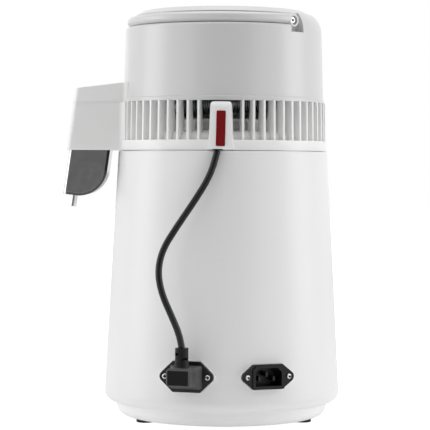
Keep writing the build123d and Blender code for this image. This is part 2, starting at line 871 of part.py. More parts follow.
with BuildPart() as start_button:
    button_back = bezel_front.offset(-bezel_lip)
    with BuildSketch(button_back):
        Circle(button_radius)
    extrude(amount=bezel_lip + button_proud)
    button_front = bezel_front.offset(button_proud)
    fillet(start_button.faces().sort_by_distance(button_front.origin)[0].edges(), button_edge)
    with BuildSketch(button_back):
        Circle(button_radius + button_skirt)
    extrude(amount=-button_skirt)
    with BuildSketch(button_back.offset(-button_skirt)):
        Circle(stem_radius)
    extrude(amount=bezel_lip - bezel_thickness + button_skirt + button_travel + seat_gap - barrel_depth)

with BuildPart() as button_switch:
    switch_front = button_seat.offset(-barrel_depth)
    with BuildSketch(switch_front):
        Circle(barrel_radius)
    extrude(amount=-switch_thickness)
    with BuildSketch(switch_front.offset(-switch_thickness)):
        Rectangle(switch_size, switch_size)
    extrude(amount=-switch_depth)

with BuildPart() as indicator_lens:
    with BuildSketch(lens_seat):
        Circle(lens_radius)
    extrude(amount=-lens_depth)
    with BuildSketch(lens_seat):
        Circle(lens_radius)
    extrude(amount=lens_proud)
    fillet(indicator_lens.faces().sort_by_distance(lens_front.origin)[0].edges(), lens_proud * 0.8)
    with BuildSketch(lens_seat.offset(-shell_wall - running_gap)):
        Circle(lens_radius + lens_flange)
    extrude(amount=-lens_flange)

# Head gasket and steam dome
with BuildPart() as head_gasket:
    with BuildSketch(Plane.XY.offset(pot_rim_top)):
        Circle(gasket_outer)
        Circle(gasket_inner, mode=Mode.SUBTRACT)
    extrude(amount=gasket_thickness)

with BuildPart() as steam_dome:
    with BuildSketch(Plane.XZ) as dome_profile:
        with BuildLine():
            Polyline(
                (tube_radius + seat_gap, dome_top),
                (dome_radius, dome_top),
                (dome_radius, gasket_top + dome_sheet),
                (gasket_outer, gasket_top + dome_sheet),
                (gasket_outer, gasket_top),
                (dome_radius - dome_sheet, gasket_top),
                (dome_radius - dome_sheet, dome_top - dome_sheet),
                (tube_radius + seat_gap, dome_top - dome_sheet),
                close=True,
            )
        make_face()
        fillet(corner(dome_profile, dome_radius, dome_top), dome_corner)
        dome_inside = corner(dome_profile, dome_radius - dome_sheet, dome_top - dome_sheet)
        fillet(dome_inside, dome_corner - dome_sheet)
    revolve(axis=Axis.Z)
    with BuildSketch(Plane.XY.offset(gasket_top)):
        with PolarLocations(dome_screw_ring, dome_screw_count):
            Circle(dome_screw[2] + seat_gap)
    extrude(amount=dome_sheet, mode=Mode.SUBTRACT)

with BuildPart() as dome_screws:
    add(below(gasket_top, ring_places(dome_screw_ring, dome_screw_count, 0), dome_screw))

# Spout housing, made in a lower and an upper half that part at the top of the vents
hump_top = band_top + hump_height
spout_inner = spout_reach - spout_wall
spout_room = spout_half_width - spout_wall


def side_slab(outline, half_width):
    """Solid with a side outline, given as reach and height, and a width across the spout."""
    with BuildPart() as slab:
        with BuildSketch(spout_side):
            with BuildLine():
                Polyline(*outline, close=True)
            make_face()
        extrude(amount=half_width, both=True)
    return slab.part


def spout_half(root_radius, outline, rounded_top=False):
    """Half of the spout: a plan that blends into the head, cut to a side outline."""
    bottom = min(height for _, height in outline)
    top = max(height for _, height in outline)
    depth = spout_reach + spout_edge
    join = -sqrt(root_radius**2 - spout_half_width**2)
    with BuildPart() as half:
        with BuildSketch(Plane.XY.offset(bottom)) as plan:
            Circle(root_radius)
            with Locations((0, -depth / 2)):
                Rectangle(2 * spout_half_width, depth)
            fillet(corner(plan, spout_half_width, join), spout_blend)
            fillet(corner(plan, -spout_half_width, join), spout_blend)
            Circle(root_radius - cover_wall, mode=Mode.SUBTRACT)
            with Locations((0, -depth / 2)):
                Rectangle(2 * spout_half_width + 2 * spout_blend, depth, mode=Mode.INTERSECT)
        extrude(amount=top - bottom)
        add(side_slab(outline, 2 * spout_half_width), mode=Mode.INTERSECT)
        front = half.faces().sort_by(Axis.Y)[0]
        edges = front.edges().filter_by(Axis.X, reverse=True)
        if rounded_top:
            lid = half.faces().sort_by(Axis.Z)[-1]
            edges += lid.edges().filter_by(lambda line: line.center().Y < -root_radius)
        fillet(edges, spout_edge)
    return half.part


lower_spout = spout_half(
    slat_radius,
    [
        (0, head_bottom),
        (spout_reach, head_bottom),
        (spout_reach + lean(vent_top), vent_top),
        (0, vent_top),
    ],
)
lower_cavity = side_slab(
    [
        (cup_rear - running_gap, head_bottom),
        (spout_inner, head_bottom),
        (spout_inner + lean(vent_top), vent_top),
        (dome_radius, vent_top),
        (dome_radius, hump_top),
        (cup_rear - running_gap + lean(hump_top), hump_top),
    ],
    spout_room,
)
hood_front = vent_top + hood_front_height
hood_back = vent_top + hood_back_height
upper_spout = spout_half(
    cover_foot_radius,
    [
        (0, vent_top),
        (spout_reach + lean(vent_top), vent_top),
        (spout_reach + lean(hood_front), hood_front),
        (cover_foot_radius, hood_back),
        (0, hood_back),
    ],
    rounded_top=True,
)
upper_cavity = side_slab(
    [
        (cover_foot_radius, vent_top),
        (spout_inner + lean(vent_top), vent_top),
        (spout_inner + lean(hood_front - spout_wall), hood_front - spout_wall),
        (cover_foot_radius, hood_back - spout_wall),
    ],
    spout_room,
)

# One slat of the vents, at polar angle 0
with BuildPart() as slat:
    with BuildSketch(half_plane(0)):
        with BuildLine():
            Polyline(
                (slat_radius, band_top - slat_sink),
                (slat_top_radius, vent_top),
                (slat_top_radius - slat_depth_top, vent_top),
                (slat_radius - slat_depth_foot, hump_top - slat_sink),
                (hump_radius - hump_height, hump_top - 2 * slat_sink),
                (hump_radius - hump_height, band_top - slat_sink),
                close=True,
            )
        make_face()
    extrude(amount=slat_thickness / 2, both=True)

slat_angles = []
for k in range(slat_count):
    angle = (slat_phase + 360 * k / slat_count + 180) % 360 - 180
    if abs(angle - tab_angle) > tab_free_angle and abs(angle + 90) > spout_free_angle:
        slat_angles.append(angle)

# Tab on the band: flared at its foot, and rounded over its top and down its sides
with BuildPart() as tab_block:
    with BuildSketch(facing_out(0, tab_root, head_bottom)) as tab_front:
        with BuildLine():
            Polyline(
                (-tab_foot_width / 2, 0),
                (tab_foot_width / 2, 0),
                (tab_width / 2, tab_flare),
                (tab_top_width / 2, tab_height),
                (-tab_top_width / 2, tab_height),
                (-tab_width / 2, tab_flare),
                close=True,
            )
        make_face()
        fillet(tab_front.vertices().filter_by(lambda point: abs(point.Y - tab_flare) < seat_gap), tab_flare)
        fillet(tab_front.vertices().group_by(Axis.Y)[-1], tab_corner)
    extrude(amount=tab_reach - tab_root, taper=tab_taper)
    with BuildSketch(Plane.XZ) as tab_side:
        with BuildLine():
            Polyline(
                (tab_root, head_bottom),
                (tab_reach, head_bottom),
                (tab_reach, head_bottom + tab_height),
                (tab_root, head_bottom + tab_height),
                close=True,
            )
        make_face()
        fillet(corner(tab_side, tab_reach, head_bottom + tab_height), tab_round)
    extrude(amount=tab_foot_width, both=True, mode=Mode.INTERSECT)
tab = Location((0, 0, 0), (0, 0, tab_angle)) * tab_block.part

# Vent ring: band, floor with its hump, slats, hoop, tab and the spout's lower half
gland_place = Plane.XY.offset(head_bottom)
with BuildPart() as vent_ring:
    ring_underside = gasket_top + dome_sheet
    hoop_outer = cover_radius(vent_top + hoop_height) - cover_wall - seat_gap
    with BuildSketch(Plane.XZ) as ring_profile:
        with BuildLine():
            Polyline(
                (hump_radius, band_top),
                (band_radius, band_top),
                (band_radius, head_bottom),
                (band_radius - band_wall, head_bottom),
                (band_radius - band_wall, ring_underside),
                (dome_radius + running_gap, ring_underside),
                (dome_radius + running_gap, hump_top),
                (hump_radius - hump_height, hump_top),
            )
            RadiusArc((hump_radius - hump_height, hump_top), (hump_radius, band_top), hump_height)
        make_face()
        fillet(corner(ring_profile, band_radius, band_top), band_edge)
    revolve(axis=Axis.Z)
    with Locations(*[Location((0, 0, 0), (0, 0, angle)) for angle in slat_angles]):
        add(slat.part)
    with BuildSketch(Plane.XY.offset(vent_top)):
        Circle(hoop_outer)
        Circle(hoop_inner, mode=Mode.SUBTRACT)
    extrude(amount=hoop_height)
    add(lower_spout)
    add(lower_cavity, mode=Mode.SUBTRACT)
    # Tab, cut level with the band's lower edge
    add(tab)
    with BuildSketch(gland_place):
        Circle(band_radius - band_wall)
    extrude(amount=ring_underside - head_bottom, mode=Mode.SUBTRACT)
    with BuildSketch(gland_place):
        with Locations(cord_exit):
            Circle(gland_radius + seat_gap)
    extrude(amount=gland_length, mode=Mode.SUBTRACT)
    # Screw holes
    with BuildSketch(Plane.XY.offset(ring_underside)):
        with PolarLocations(dome_screw_ring, dome_screw_count):
            Circle(dome_screw[2] + seat_gap)
    extrude(amount=dome_screw[3], mode=Mode.SUBTRACT)
    cover_screw_ring = (hoop_inner + hoop_outer) / 2
    cover_screw_places = ring_places(cover_screw_ring, cover_screw_count, cover_screw_angle)
    with BuildSketch(Plane.XY.offset(vent_top)):
        with Locations(*cover_screw_places):
            Circle(cover_screw[2] + seat_gap)
    extrude(amount=hoop_height, mode=Mode.SUBTRACT)

# Rubber gland that the fan lead comes out of, and the red sticker on the tab
with BuildPart() as cord_gland:
    with BuildSketch(gland_place):
        with Locations(cord_exit):
            Circle(gland_radius)
    extrude(amount=gland_length)

with BuildPart() as red_sticker:
    with BuildSketch(facing_out(tab_angle, tab_reach, head_bottom)):
        with Locations((0, sticker_foot + sticker_height / 2)):
            RectangleRounded(sticker_width, sticker_height, sticker_width / 8, rotation=sticker_turn)
    extrude(amount=sticker_thickness)

# Cover of the head: a drum with a ledge for the handle, a collar for the cap and the spout's hood
collar_bore = collar_radius - collar_wall
ledge_under = ledge - ledge_thickness
lip_top = vent_top + cover_lip_height
with BuildPart() as head_cover:
    with BuildSketch(Plane.XZ) as cover_profile:
        with BuildLine():
            shoulder_foot = (cover_radius(ledge - shoulder_drop), ledge - shoulder_drop)
            shoulder_top = (shoulder_top_radius, collar_top + shoulder_lip)
            RadiusArc(shoulder_top, shoulder_foot, shoulder_round)
            Polyline(
                shoulder_foot,
                (cover_radius(lip_top), lip_top),
                (cover_foot_radius + cover_lip_proud, lip_top - cover_lip_proud),
                (cover_foot_radius + cover_lip_proud, vent_top),
                (cover_foot_radius - cover_wall, vent_top),
                (cover_radius(ledge_under) - cover_wall, ledge_under),
                (collar_bore, ledge_under),
                (collar_bore, collar_top),
                (shoulder_top_radius, collar_top),
                shoulder_top,
            )
        make_face()
    revolve(axis=Axis.Z)
    add(upper_spout)
    add(upper_cavity, mode=Mode.SUBTRACT)
    # Ledge under the handle, over half of the rim, with a rounded edge
    above = collar_top + cap_height
    round_foot = ledge - ledge_round
    round_end = cover_radius(round_foot)
    outside = round_end + 2 * ledge_round
    with BuildSketch(half_plane(handle_angle - 180)):
        with BuildLine():
            RadiusArc((round_end - ledge_round, ledge), (round_end, round_foot), ledge_round)
            Polyline(
                (round_end, round_foot),
                (outside, round_foot),
                (outside, above),
                (collar_radius, above),
                (collar_radius, ledge),
                (round_end - ledge_round, ledge),
            )
        make_face()
    revolve(axis=Axis.Z, revolution_arc=180, mode=Mode.SUBTRACT)
    # Pockets that the handle's ears turn in, each with a boss for its pin
    ear_room = handle_ear_radius + running_gap
    for angle, side in zip(pivot_angles, (1, -1)):
        pocket_middle = side * (pocket_back - ear_room) / 2
        pocket_width = pocket_back + ear_room
        pivot = facing_out(angle, collar_bore, pivot_height)
        with BuildSketch(pivot):
            with Locations((pocket_middle, -pivot_rise)):
                Rectangle(
                    pocket_width + 2 * cover_wall,
                    pocket_drop + cover_wall - pivot_rise,
                    align=(Align.CENTER, Align.MAX),
                )
        extrude(amount=cover_rim_radius - 2 * cover_lip_proud - cover_wall / 4 - collar_bore)
        with BuildSketch(pivot):
            Circle(pin_boss_radius)
        extrude(amount=-pin_boss_depth)
        with BuildSketch(pivot.offset(collar_wall)):
            with Locations((pocket_middle, -pocket_drop)):
                Rectangle(
                    pocket_width,
                    pocket_drop + collar_height + cap_height,
                    align=(Align.CENTER, Align.MIN),
                )
        extrude(amount=cover_rim_radius, mode=Mode.SUBTRACT)
        with BuildSketch(pivot.offset(-pin_boss_depth)):
            Circle(pin_radius + bearing_gap)
        extrude(amount=pin_boss_depth + collar_wall, mode=Mode.SUBTRACT)
    # Bosses for the motor bracket and for the screws from the vent ring
    bracket_places = ring_places(bracket_boss_ring, bracket_screw_count, bracket_angle)
    with BuildSketch(Plane.XY.offset(bracket_bottom)):
        with Locations(*bracket_places):
            Circle(bracket_boss_radius)
    extrude(amount=-bracket_boss_height)
    with BuildSketch(Plane.XY.offset(bracket_bottom)):
        with Locations(*bracket_places):
            Circle(bracket_screw[2] + seat_gap)
    extrude(amount=-bracket_boss_height, mode=Mode.SUBTRACT)
    hoop_top = vent_top + hoop_height
    with BuildSketch(Plane.XY.offset(hoop_top)):
        with Locations(*cover_screw_places):
            Circle(cover_boss_radius)
    extrude(amount=cover_screw[3])
    with BuildSketch(Plane.XY.offset(hoop_top)):
        with Locations(*cover_screw_places):
            Circle(cover_screw[2] + seat_gap)
    extrude(amount=cover_screw[3], mode=Mode.SUBTRACT)

with BuildPart() as cover_screws:
    add(below(vent_top, cover_screw_places, cover_screw))

# Top cap with the fan's intake grille
cap_top = collar_top + cap_height
with BuildPart() as top_cap:
    skirt = collar_bore - seat_gap
    with BuildSketch(Plane.XZ) as cap_profile:
        with BuildLine():
            Polyline(
                (0, cap_top),
                (cap_top_radius, cap_top),
                (cap_radius, collar_top + cap_side),
                (cap_radius, collar_top),
                (skirt, collar_top),
                (skirt, collar_top - cap_skirt_depth),
                (skirt - cap_skirt_wall, collar_top - cap_skirt_depth),
                (skirt - cap_skirt_wall, cap_top - cap_plate),
                (0, cap_top - cap_plate),
                close=True,
            )
        make_face()
        fillet(corner(cap_profile, cap_top_radius, cap_top), cap_edge)
    revolve(axis=Axis.Z)
    for inner, outer, count in grille_rows:
        slot_width = grille_slot_share * radians(360) * inner * cap_radius / count
        with BuildSketch(Plane.XY.offset(cap_top)):
            with PolarLocations((inner + outer) / 2 * cap_radius, count):
                SlotOverall((outer - inner) * cap_radius, slot_width)
        extrude(amount=-cap_plate, mode=Mode.SUBTRACT)

# Carry handle with its two ears, and the pins that it turns on
handle_bottom = ledge + handle_lift
handle_top = handle_bottom + handle_height
head_seat = ear_outer - pin_head_sink - pin_head_thickness
with BuildPart() as carry_handle:
    with BuildSketch(half_plane(handle_angle - 180)) as handle_profile:
        with BuildLine():
            Polyline(
                (handle_inner, handle_bottom),
                (handle_foot, handle_bottom),
                (handle_nose, handle_bottom + handle_nose_rise),
                (handle_nose, handle_top),
                (handle_inner, handle_top),
                close=True,
            )
        make_face()
        fillet(corner(handle_profile, handle_nose, handle_top), handle_round)
        fillet(corner(handle_profile, handle_nose, handle_bottom + handle_nose_rise), handle_edge)
        fillet(corner(handle_profile, handle_foot, handle_bottom), handle_edge)
    revolve(axis=Axis.Z, revolution_arc=180)
    for angle in pivot_angles:
        with BuildSketch(facing_out(angle, handle_inner, pivot_height)):
            Circle(handle_ear_radius)
        extrude(amount=ear_outer - handle_inner)
        with BuildSketch(facing_out(angle, collar_radius, pivot_height)):
            Circle(pin_radius + bearing_gap)
        extrude(amount=handle_nose - collar_radius, mode=Mode.SUBTRACT)
        with BuildSketch(facing_out(angle, head_seat - running_gap, pivot_height)):
            Circle(pin_head_radius + running_gap)
        extrude(amount=handle_nose - head_seat + running_gap, mode=Mode.SUBTRACT)

with BuildPart() as handle_pins:
    for angle in pivot_angles:
        with BuildSketch(facing_out(angle, collar_bore - pin_boss_depth, pivot_height)):
            Circle(pin_radius)
        extrude(amount=head_seat - collar_bore + pin_boss_depth)
        with BuildSketch(facing_out(angle, head_seat, pivot_height)):
            Circle(pin_head_radius)
        extrude(amount=pin_head_thickness)

# Filter cup that slides up into the spout, and its nozzle
cup_front = spout_inner - running_gap
cup_half_width = spout_room - running_gap
cup_down = Vector(sin(radians(spout_tilt)), -cos(radians(spout_tilt)))
cup_back = Vector(-cos(radians(spout_tilt)), -sin(radians(spout_tilt)))
cup_depth = (cup_front - cup_rear) * cos(radians(spout_tilt))
cup_mouth = Vector(cup_front, head_bottom)


def cup_point(back, down):
    """Point of the cup's side outline, from the spout's front lower edge."""
    return cup_mouth + cup_back * back + cup_down * down


def below_rim(line):
    """Whether an edge of the cup's side isn't the one along its open top."""
    return line.center().Z < head_bottom + cup_insert / 2


def cup_solid(inset, rise, edge):
    """Cup filled in, drawn in by an inset and standing up by a rise over its rim."""
    rear_slide = (cup_front - cup_rear) * sin(radians(spout_tilt))
    heel = cup_point(cup_depth - inset, cup_drop - inset)
    toe = cup_point(inset, cup_drop - inset)
    with BuildPart() as cup:
        with BuildSketch(spout_side) as outline:
            with BuildLine():
                Polyline(
                    (cup_point(inset, -cup_insert - rise).X, cup_point(inset, -cup_insert - rise).Y),
                    (toe.X, toe.Y),
                    (heel.X, heel.Y),
                    (
                        cup_point(cup_depth - inset, -cup_insert - rise - rear_slide).X,
                        cup_point(cup_depth - inset, -cup_insert - rise - rear_slide).Y,
                    ),
                    close=True,
                )
            make_face()
            fillet(corner(outline, heel.X, heel.Y), cup_heel - inset)
        extrude(amount=cup_half_width - inset, both=True)
        if edge:
            for side in cup.faces().filter_by(Axis.X):
                rims = side.edges().sort_by(Axis.Y)
                chamfer(rims[1:].filter_by(below_rim), *cup_bevel, reference=side)
            for side in cup.faces().filter_by(Axis.X):
                fillet(side.edges().sort_by(Axis.Y)[0], edge)
    return cup.part


nozzle_point = cup_point(nozzle_setback, cup_drop)
nozzle_plane = Plane(
    origin=(0, -nozzle_point.X, nozzle_point.Y),
    x_dir=(1, 0, 0),
    z_dir=(0, -cup_down.X, cup_down.Y),
)
with BuildPart() as filter_cup:
    add(cup_solid(0, 0, cup_edge))
    add(cup_solid(cup_wall, cup_wall, 0), mode=Mode.SUBTRACT)
    with BuildSketch(nozzle_plane):
        Circle(nozzle_radius + seat_gap)
    extrude(amount=cup_wall * 2, both=True, mode=Mode.SUBTRACT)

with BuildPart() as spout_nozzle:
    with BuildSketch(nozzle_plane.offset(-cup_wall)):
        Circle(nozzle_radius)
        Circle(nozzle_bore, mode=Mode.SUBTRACT)
    extrude(amount=nozzle_drop + cup_wall)

# Condenser: one tube up from the dome, wound down round the fan's draught and out to the spout
coil_start_angle = coil_end_angle + 360 * coil_turns


def coil_point(turn):
    """Middle of the tube after a number of turns from the top."""
    return on_circle(coil_radius, coil_start_angle - 360 * turn, coil_start_z - coil_pitch * turn)


def coil_heading(turn):
    """Direction of the tube after a number of turns."""
    level = on_circle(radians(360) * coil_radius, coil_start_angle - 360 * turn - 90, 0)
    return (level - Vector(0, 0, coil_pitch)).normalized()


def biarc(start, start_heading, end, end_heading):
    """Two arcs that leave one point and reach another in given directions."""
    span = end - start
    along = span.dot(start_heading + end_heading)
    spread = 2 * (1 - start_heading.dot(end_heading))
    arm = (sqrt(along**2 + spread * span.dot(span)) - along) / spread
    middle = (start + end + (start_heading - end_heading) * arm) * 0.5
    first = TangentArc(start, middle, tangent=start_heading)
    TangentArc(middle, end, tangent=first % 1)


riser_angle = coil_start_angle + riser_turn
riser_top = Vector(0, 0, coil_start_z - riser_bend)
riser_out = on_circle(1, riser_angle, 0)
bend_end = riser_out * riser_bend + Vector(0, 0, coil_start_z)
drain_end = Vector(0, -drain_reach, dome_top + drain_height)
quarter_turns = round(4 * coil_turns)
with BuildPart() as condenser_coil:
    with BuildLine() as tube_path:
        Line((0, 0, dome_top - dome_sheet), riser_top)
        TangentArc(riser_top, bend_end, tangent=(0, 0, 1))
        biarc(bend_end, riser_out, coil_point(0), coil_heading(0))
        for quarter in range(quarter_turns):
            here = quarter * coil_turns / quarter_turns
            there = (quarter + 1) * coil_turns / quarter_turns
            biarc(coil_point(here), coil_heading(here), coil_point(there), coil_heading(there))
        biarc(coil_point(coil_turns), coil_heading(coil_turns), drain_end, Vector(0, -1, 0))
    with BuildSketch(Plane.XY.offset(dome_top - dome_sheet)):
        Circle(tube_radius)
    sweep(path=tube_path.line)
    with BuildSketch(Plane.XY.offset(dome_top - dome_sheet)):
        Circle(tube_bore)
    extrude(amount=tube_open_depth, mode=Mode.SUBTRACT)
    with BuildSketch(Plane(origin=drain_end, x_dir=(1, 0, 0), z_dir=(0, 1, 0))):
        Circle(tube_bore)
    extrude(amount=tube_open_depth, mode=Mode.SUBTRACT)

with BuildPart() as condenser_fins:
    fin_planes = []
    for k in range(fin_count):
        turn = coil_turns * (k + 0.5) / fin_count
        fin_planes.append(Plane(origin=coil_point(turn), x_dir=(0, 0, 1), z_dir=coil_heading(turn)))
    with BuildSketch(*fin_planes):
        RegularPolygon(fin_radius, fin_sides)
        RegularPolygon(tube_radius + seat_gap, fin_sides, major_radius=False, mode=Mode.SUBTRACT)
    extrude(amount=fin_thickness / 2, both=True)

# Fan, its shaft, the motor above it and the bracket that holds the motor
bracket_top = bracket_bottom + bracket_thickness
blade_height = fan_top - fan_hub_height / 2
with BuildPart() as blade:
    with BuildSketch(facing_out(0, fan_hub_radius - blade_thickness, blade_height)):
        Rectangle(blade_chord_root, blade_thickness, rotation=blade_pitch_root)
    with BuildSketch(facing_out(0, fan_radius, blade_height)):
        Rectangle(blade_chord_tip, blade_thickness, rotation=blade_pitch_tip)
    loft()
    with BuildSketch(Plane.XY.offset(fan_top)):
        Circle(fan_radius)
    extrude(amount=-fan_hub_height, mode=Mode.INTERSECT)

with BuildPart() as fan_rotor:
    with BuildSketch(Plane.XY.offset(fan_top)):
        Circle(fan_hub_radius)
    extrude(amount=-fan_hub_height)
    fillet(fan_rotor.faces().sort_by(Axis.Z)[-1].edges(), fan_hub_edge)
    with PolarLocations(0, blade_count):
        add(blade.part)
    with BuildSketch(Plane.XY.offset(fan_top)):
        Circle(shaft_radius + bearing_gap)
    extrude(amount=-fan_hub_height, mode=Mode.SUBTRACT)

shaft_bottom = fan_top - fan_hub_height
with BuildPart() as fan_shaft:
    with BuildSketch(Plane.XY.offset(shaft_bottom)):
        Circle(shaft_radius)
    extrude(amount=shaft_length)

with BuildPart() as fan_motor:
    with BuildSketch(Plane.XY.offset(bracket_top)):
        Circle(motor_radius)
    extrude(amount=motor_height)
    fillet(fan_motor.faces().sort_by(Axis.Z)[-1].edges(), motor_edge)
    with BuildSketch(Plane.XY.offset(bracket_top)):
        Circle(motor_nose_radius)
    extrude(amount=-motor_nose_height)
    with BuildSketch(Plane.XY.offset(bracket_top - motor_nose_height)):
        Circle(shaft_radius + bearing_gap)
    shaft_room = shaft_bottom + shaft_length + running_gap
    extrude(amount=shaft_room - bracket_top + motor_nose_height, mode=Mode.SUBTRACT)

with BuildPart() as motor_bracket:
    with BuildSketch(Plane.XY.offset(bracket_bottom)):
        Circle(bracket_ring)
        with PolarLocations(0, bracket_screw_count, bracket_angle):
            Rectangle(bracket_boss_ring + bracket_screw[0], bracket_arm, align=(Align.MIN, Align.CENTER))
        Circle(bracket_hole, mode=Mode.SUBTRACT)
        with Locations(*bracket_places):
            Circle(bracket_screw[2] + seat_gap, mode=Mode.SUBTRACT)
    extrude(amount=bracket_thickness)

with BuildPart() as bracket_screws:
    add(screw_set(Plane.XY.offset(bracket_top), bracket_places, bracket_screw))

# Fan lead, cut level with the gland and the plug's relief
cord_route = [Vector(*cord_exit, head_bottom)]
for angle, out, share in cord_points:
    height = relief_top + share * (head_bottom - relief_top)
    cord_route.append(on_circle(shell_radius(height) + out, angle, height))
cord_route += [Vector(relief_axis.X, relief_axis.Y, relief_top)]
cord_route[0] += (cord_route[0] - cord_route[1]).normalized() * 2 * cord_radius
cord_route[-1] += (cord_route[-1] - cord_route[-2]).normalized() * 2 * cord_radius
cord_radii = []
for before, here, after in zip(cord_route, cord_route[1:], cord_route[2:]):
    turn = radians((here - before).get_angle(after - here))
    shorter = min((here - before).length, (after - here).length)
    cord_radii.append(0.45 * shorter / tan(turn / 2))
print("cord radii", [round(radius, 1) for radius in cord_radii])
with BuildPart() as fan_cord:
    with BuildLine() as cord_path:
        FilletPolyline(*cord_route, radius=cord_radii)
    with BuildSketch(Plane(origin=cord_route[0], z_dir=cord_route[1] - cord_route[0])):
        Circle(cord_radius)
    sweep(path=cord_path.line)
    split(bisect_by=Plane.XY.offset(head_bottom), keep=Keep.BOTTOM)
    split(bisect_by=Plane.XY.offset(relief_top), keep=Keep.TOP)
print("cord length", round(fan_cord.part.volume / (radians(180) * cord_radius**2), 1))

# The tube's least gap to itself, on points a tube's width or more apart along it
tube_wire = tube_path.wire()
samples = [tube_wire @ (k / 400) for k in range(401)]
apart = round(400 * 4 * tube_radius / tube_wire.length)
gaps = [(a - b).length for k, a in enumerate(samples) for b in samples[k + apart:]]
print("condenser tube least gap", round(min(gaps) - 2 * tube_radius, 2))

nodes = {
    "base_tray": base_tray,
    "feet": feet,
    "foot_screws": foot_screws,
    "tray_screws": tray_screws,
    "support_posts": support_posts,
    "lower_shell": lower_shell,
    "boiler_pot": boiler_pot,
    "heater_plate": heater_plate,
    "heater_element": heater_element,
    "thermostats": thermostats,
    "power_outlet": power_outlet,
    "outlet_contacts": outlet_contacts,
    "power_inlet": power_inlet,
    "inlet_pins": inlet_pins,
    "socket_screws": socket_screws,
    "plug_body": plug_body,
    "plug_pins": plug_pins,
    "button_bezel": button_bezel,
    "start_button": start_button,
    "button_switch": button_switch,
    "indicator_lens": indicator_lens,
    "fan_cord": fan_cord,
    "head_gasket": head_gasket,
    "steam_dome": steam_dome,
    "dome_screws": dome_screws,
    "vent_ring": vent_ring,
    "cord_gland": cord_gland,
    "red_sticker": red_sticker,
    "head_cover": head_cover,
    "cover_screws": cover_screws,
    "top_cap": top_cap,
    "carry_handle": carry_handle,
    "handle_pins": handle_pins,
    "filter_cup": filter_cup,
    "spout_nozzle": spout_nozzle,
    "condenser_coil": condenser_coil,
    "condenser_fins": condenser_fins,
    "fan_rotor": fan_rotor,
    "fan_shaft": fan_shaft,
    "fan_motor": fan_motor,
    "motor_bracket": motor_bracket,
    "bracket_screws": bracket_screws,
}
for name, node in nodes.items():
    node.part.label = name
    export_step(node.part, f"parts/{name}.step")
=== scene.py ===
from math import cos, pi, radians, sin

import bmesh
import bpy
from bpy.props import FloatProperty, FloatVectorProperty, IntProperty, PointerProperty
from mathutils import Matrix, Quaternion, Vector


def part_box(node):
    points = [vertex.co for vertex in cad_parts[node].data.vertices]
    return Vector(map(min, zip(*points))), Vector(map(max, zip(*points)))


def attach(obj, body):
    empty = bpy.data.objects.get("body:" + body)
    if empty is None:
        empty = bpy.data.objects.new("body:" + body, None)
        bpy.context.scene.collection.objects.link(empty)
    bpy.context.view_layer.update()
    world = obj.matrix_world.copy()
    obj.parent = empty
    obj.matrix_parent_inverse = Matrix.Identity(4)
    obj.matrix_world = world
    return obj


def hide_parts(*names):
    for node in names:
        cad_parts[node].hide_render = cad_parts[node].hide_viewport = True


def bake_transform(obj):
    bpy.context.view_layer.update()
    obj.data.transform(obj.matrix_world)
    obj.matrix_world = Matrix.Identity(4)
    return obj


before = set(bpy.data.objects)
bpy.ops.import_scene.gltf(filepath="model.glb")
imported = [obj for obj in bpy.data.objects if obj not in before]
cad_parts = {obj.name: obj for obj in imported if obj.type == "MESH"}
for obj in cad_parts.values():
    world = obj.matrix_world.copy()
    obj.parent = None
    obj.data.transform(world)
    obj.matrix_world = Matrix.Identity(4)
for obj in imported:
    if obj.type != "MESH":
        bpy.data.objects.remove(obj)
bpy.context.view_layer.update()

bl_info = {
    "name": "Water distiller",
    "version": (1, 0, 0),
    "blender": (4, 5, 0),
    "location": "3D View > Sidebar > Distiller",
    "description": "Dresses a countertop water distiller: finishes, lead, fins, screws and a studio",
    "category": "Add Mesh",
}

# Where the model's pieces are: heights in metres, angles about the axis from X
SOCKET_HEIGHT = 0.0496
OUTLET_ANGLE = radians(-16.4)
INLET_ANGLE = radians(21.3)
PIVOT_ANGLE = radians(45.4)
PIVOT_HEIGHT = 0.3722
COIL_START = radians(-35)

# A socket's flange is measured this far aside of its middle, clear of what stands out there
FLANGE_ASIDE = 0.019

# The plug is black this deep in its face, and from this far above the sockets' middle, with soft edges
PLUG_FACE_DEPTH = 0.0004
PLUG_FACE_EDGE = 0.0002
PLUG_RELIEF_FOOT = 0.0105
PLUG_RELIEF_EDGE = 0.0003

# The spout begins this far out; past it the cover is painted paler as the light that falls on the spout, the
# change spread over this much either way
SPOUT_ROOT = 0.0915
SPOUT_EDGE = 0.004

# The cup's front leans back by the spout's tilt and stands this far from the origin, square to its face
SPOUT_TILT = radians(8)
CUP_FRONT = 0.1780

# The cup's bevels, the turn into its front, and the painted reflections of a dark room: dim grey behind the
# front and on the turn, dark grey on the bevels
CUP_BEVEL = 0.0007
CUP_EDGE = 0.0024
DIM_PAINTED_REFLECTION = (0.30, 0.30, 0.305)
DARK_PAINTED_REFLECTION = (0.10, 0.10, 0.105)

# Span of a noise that the finishes use, and the detail of the broad one and of the fine one
NOISE_LOW = 0.3
NOISE_HIGH = 0.7
DRIFT_DETAIL = 4.0
GRAIN_DETAIL = 3.0

# Gloss of a clear coat, and how deep light goes into a plastic that glows
COAT_ROUGHNESS = 0.12
GLOW_DEPTH = 0.004

# Places of the colour sockets on a Mix node
MIX_FIRST = 6
MIX_SECOND = 7
MIX_RESULT = 2

# Steps in the quarter turn of a rounded edge
ROUND_STEPS = 6

# Steam dome: the fillet over its flange, the round of its shoulder, and the side of its crown as
# (in from the crown's foot, above the dome) and then (in from the crown's foot, below its top)
DOME_FILLET = 0.001
DOME_ROUND = 0.004
CROWN_FOOT = [(0, 0), (0.0012, 0.0004)]
CROWN_BROW = [(0.0052, 0.0012), (0.0072, 0)]

# Socket screw: height of its head, depth of its cross, and how far the cross is turned
SCREW_HEIGHT = 0.0015
SCREW_RECESS = 0.0013
SCREW_TURN = radians(20)

# Parts of a pan head's height and radius: its upright side, its flat top, its cross's length and width
HEAD_SIDE = 0.30
HEAD_FLAT = 0.45
CROSS_LENGTH = 1.25
CROSS_WIDTH = 0.46

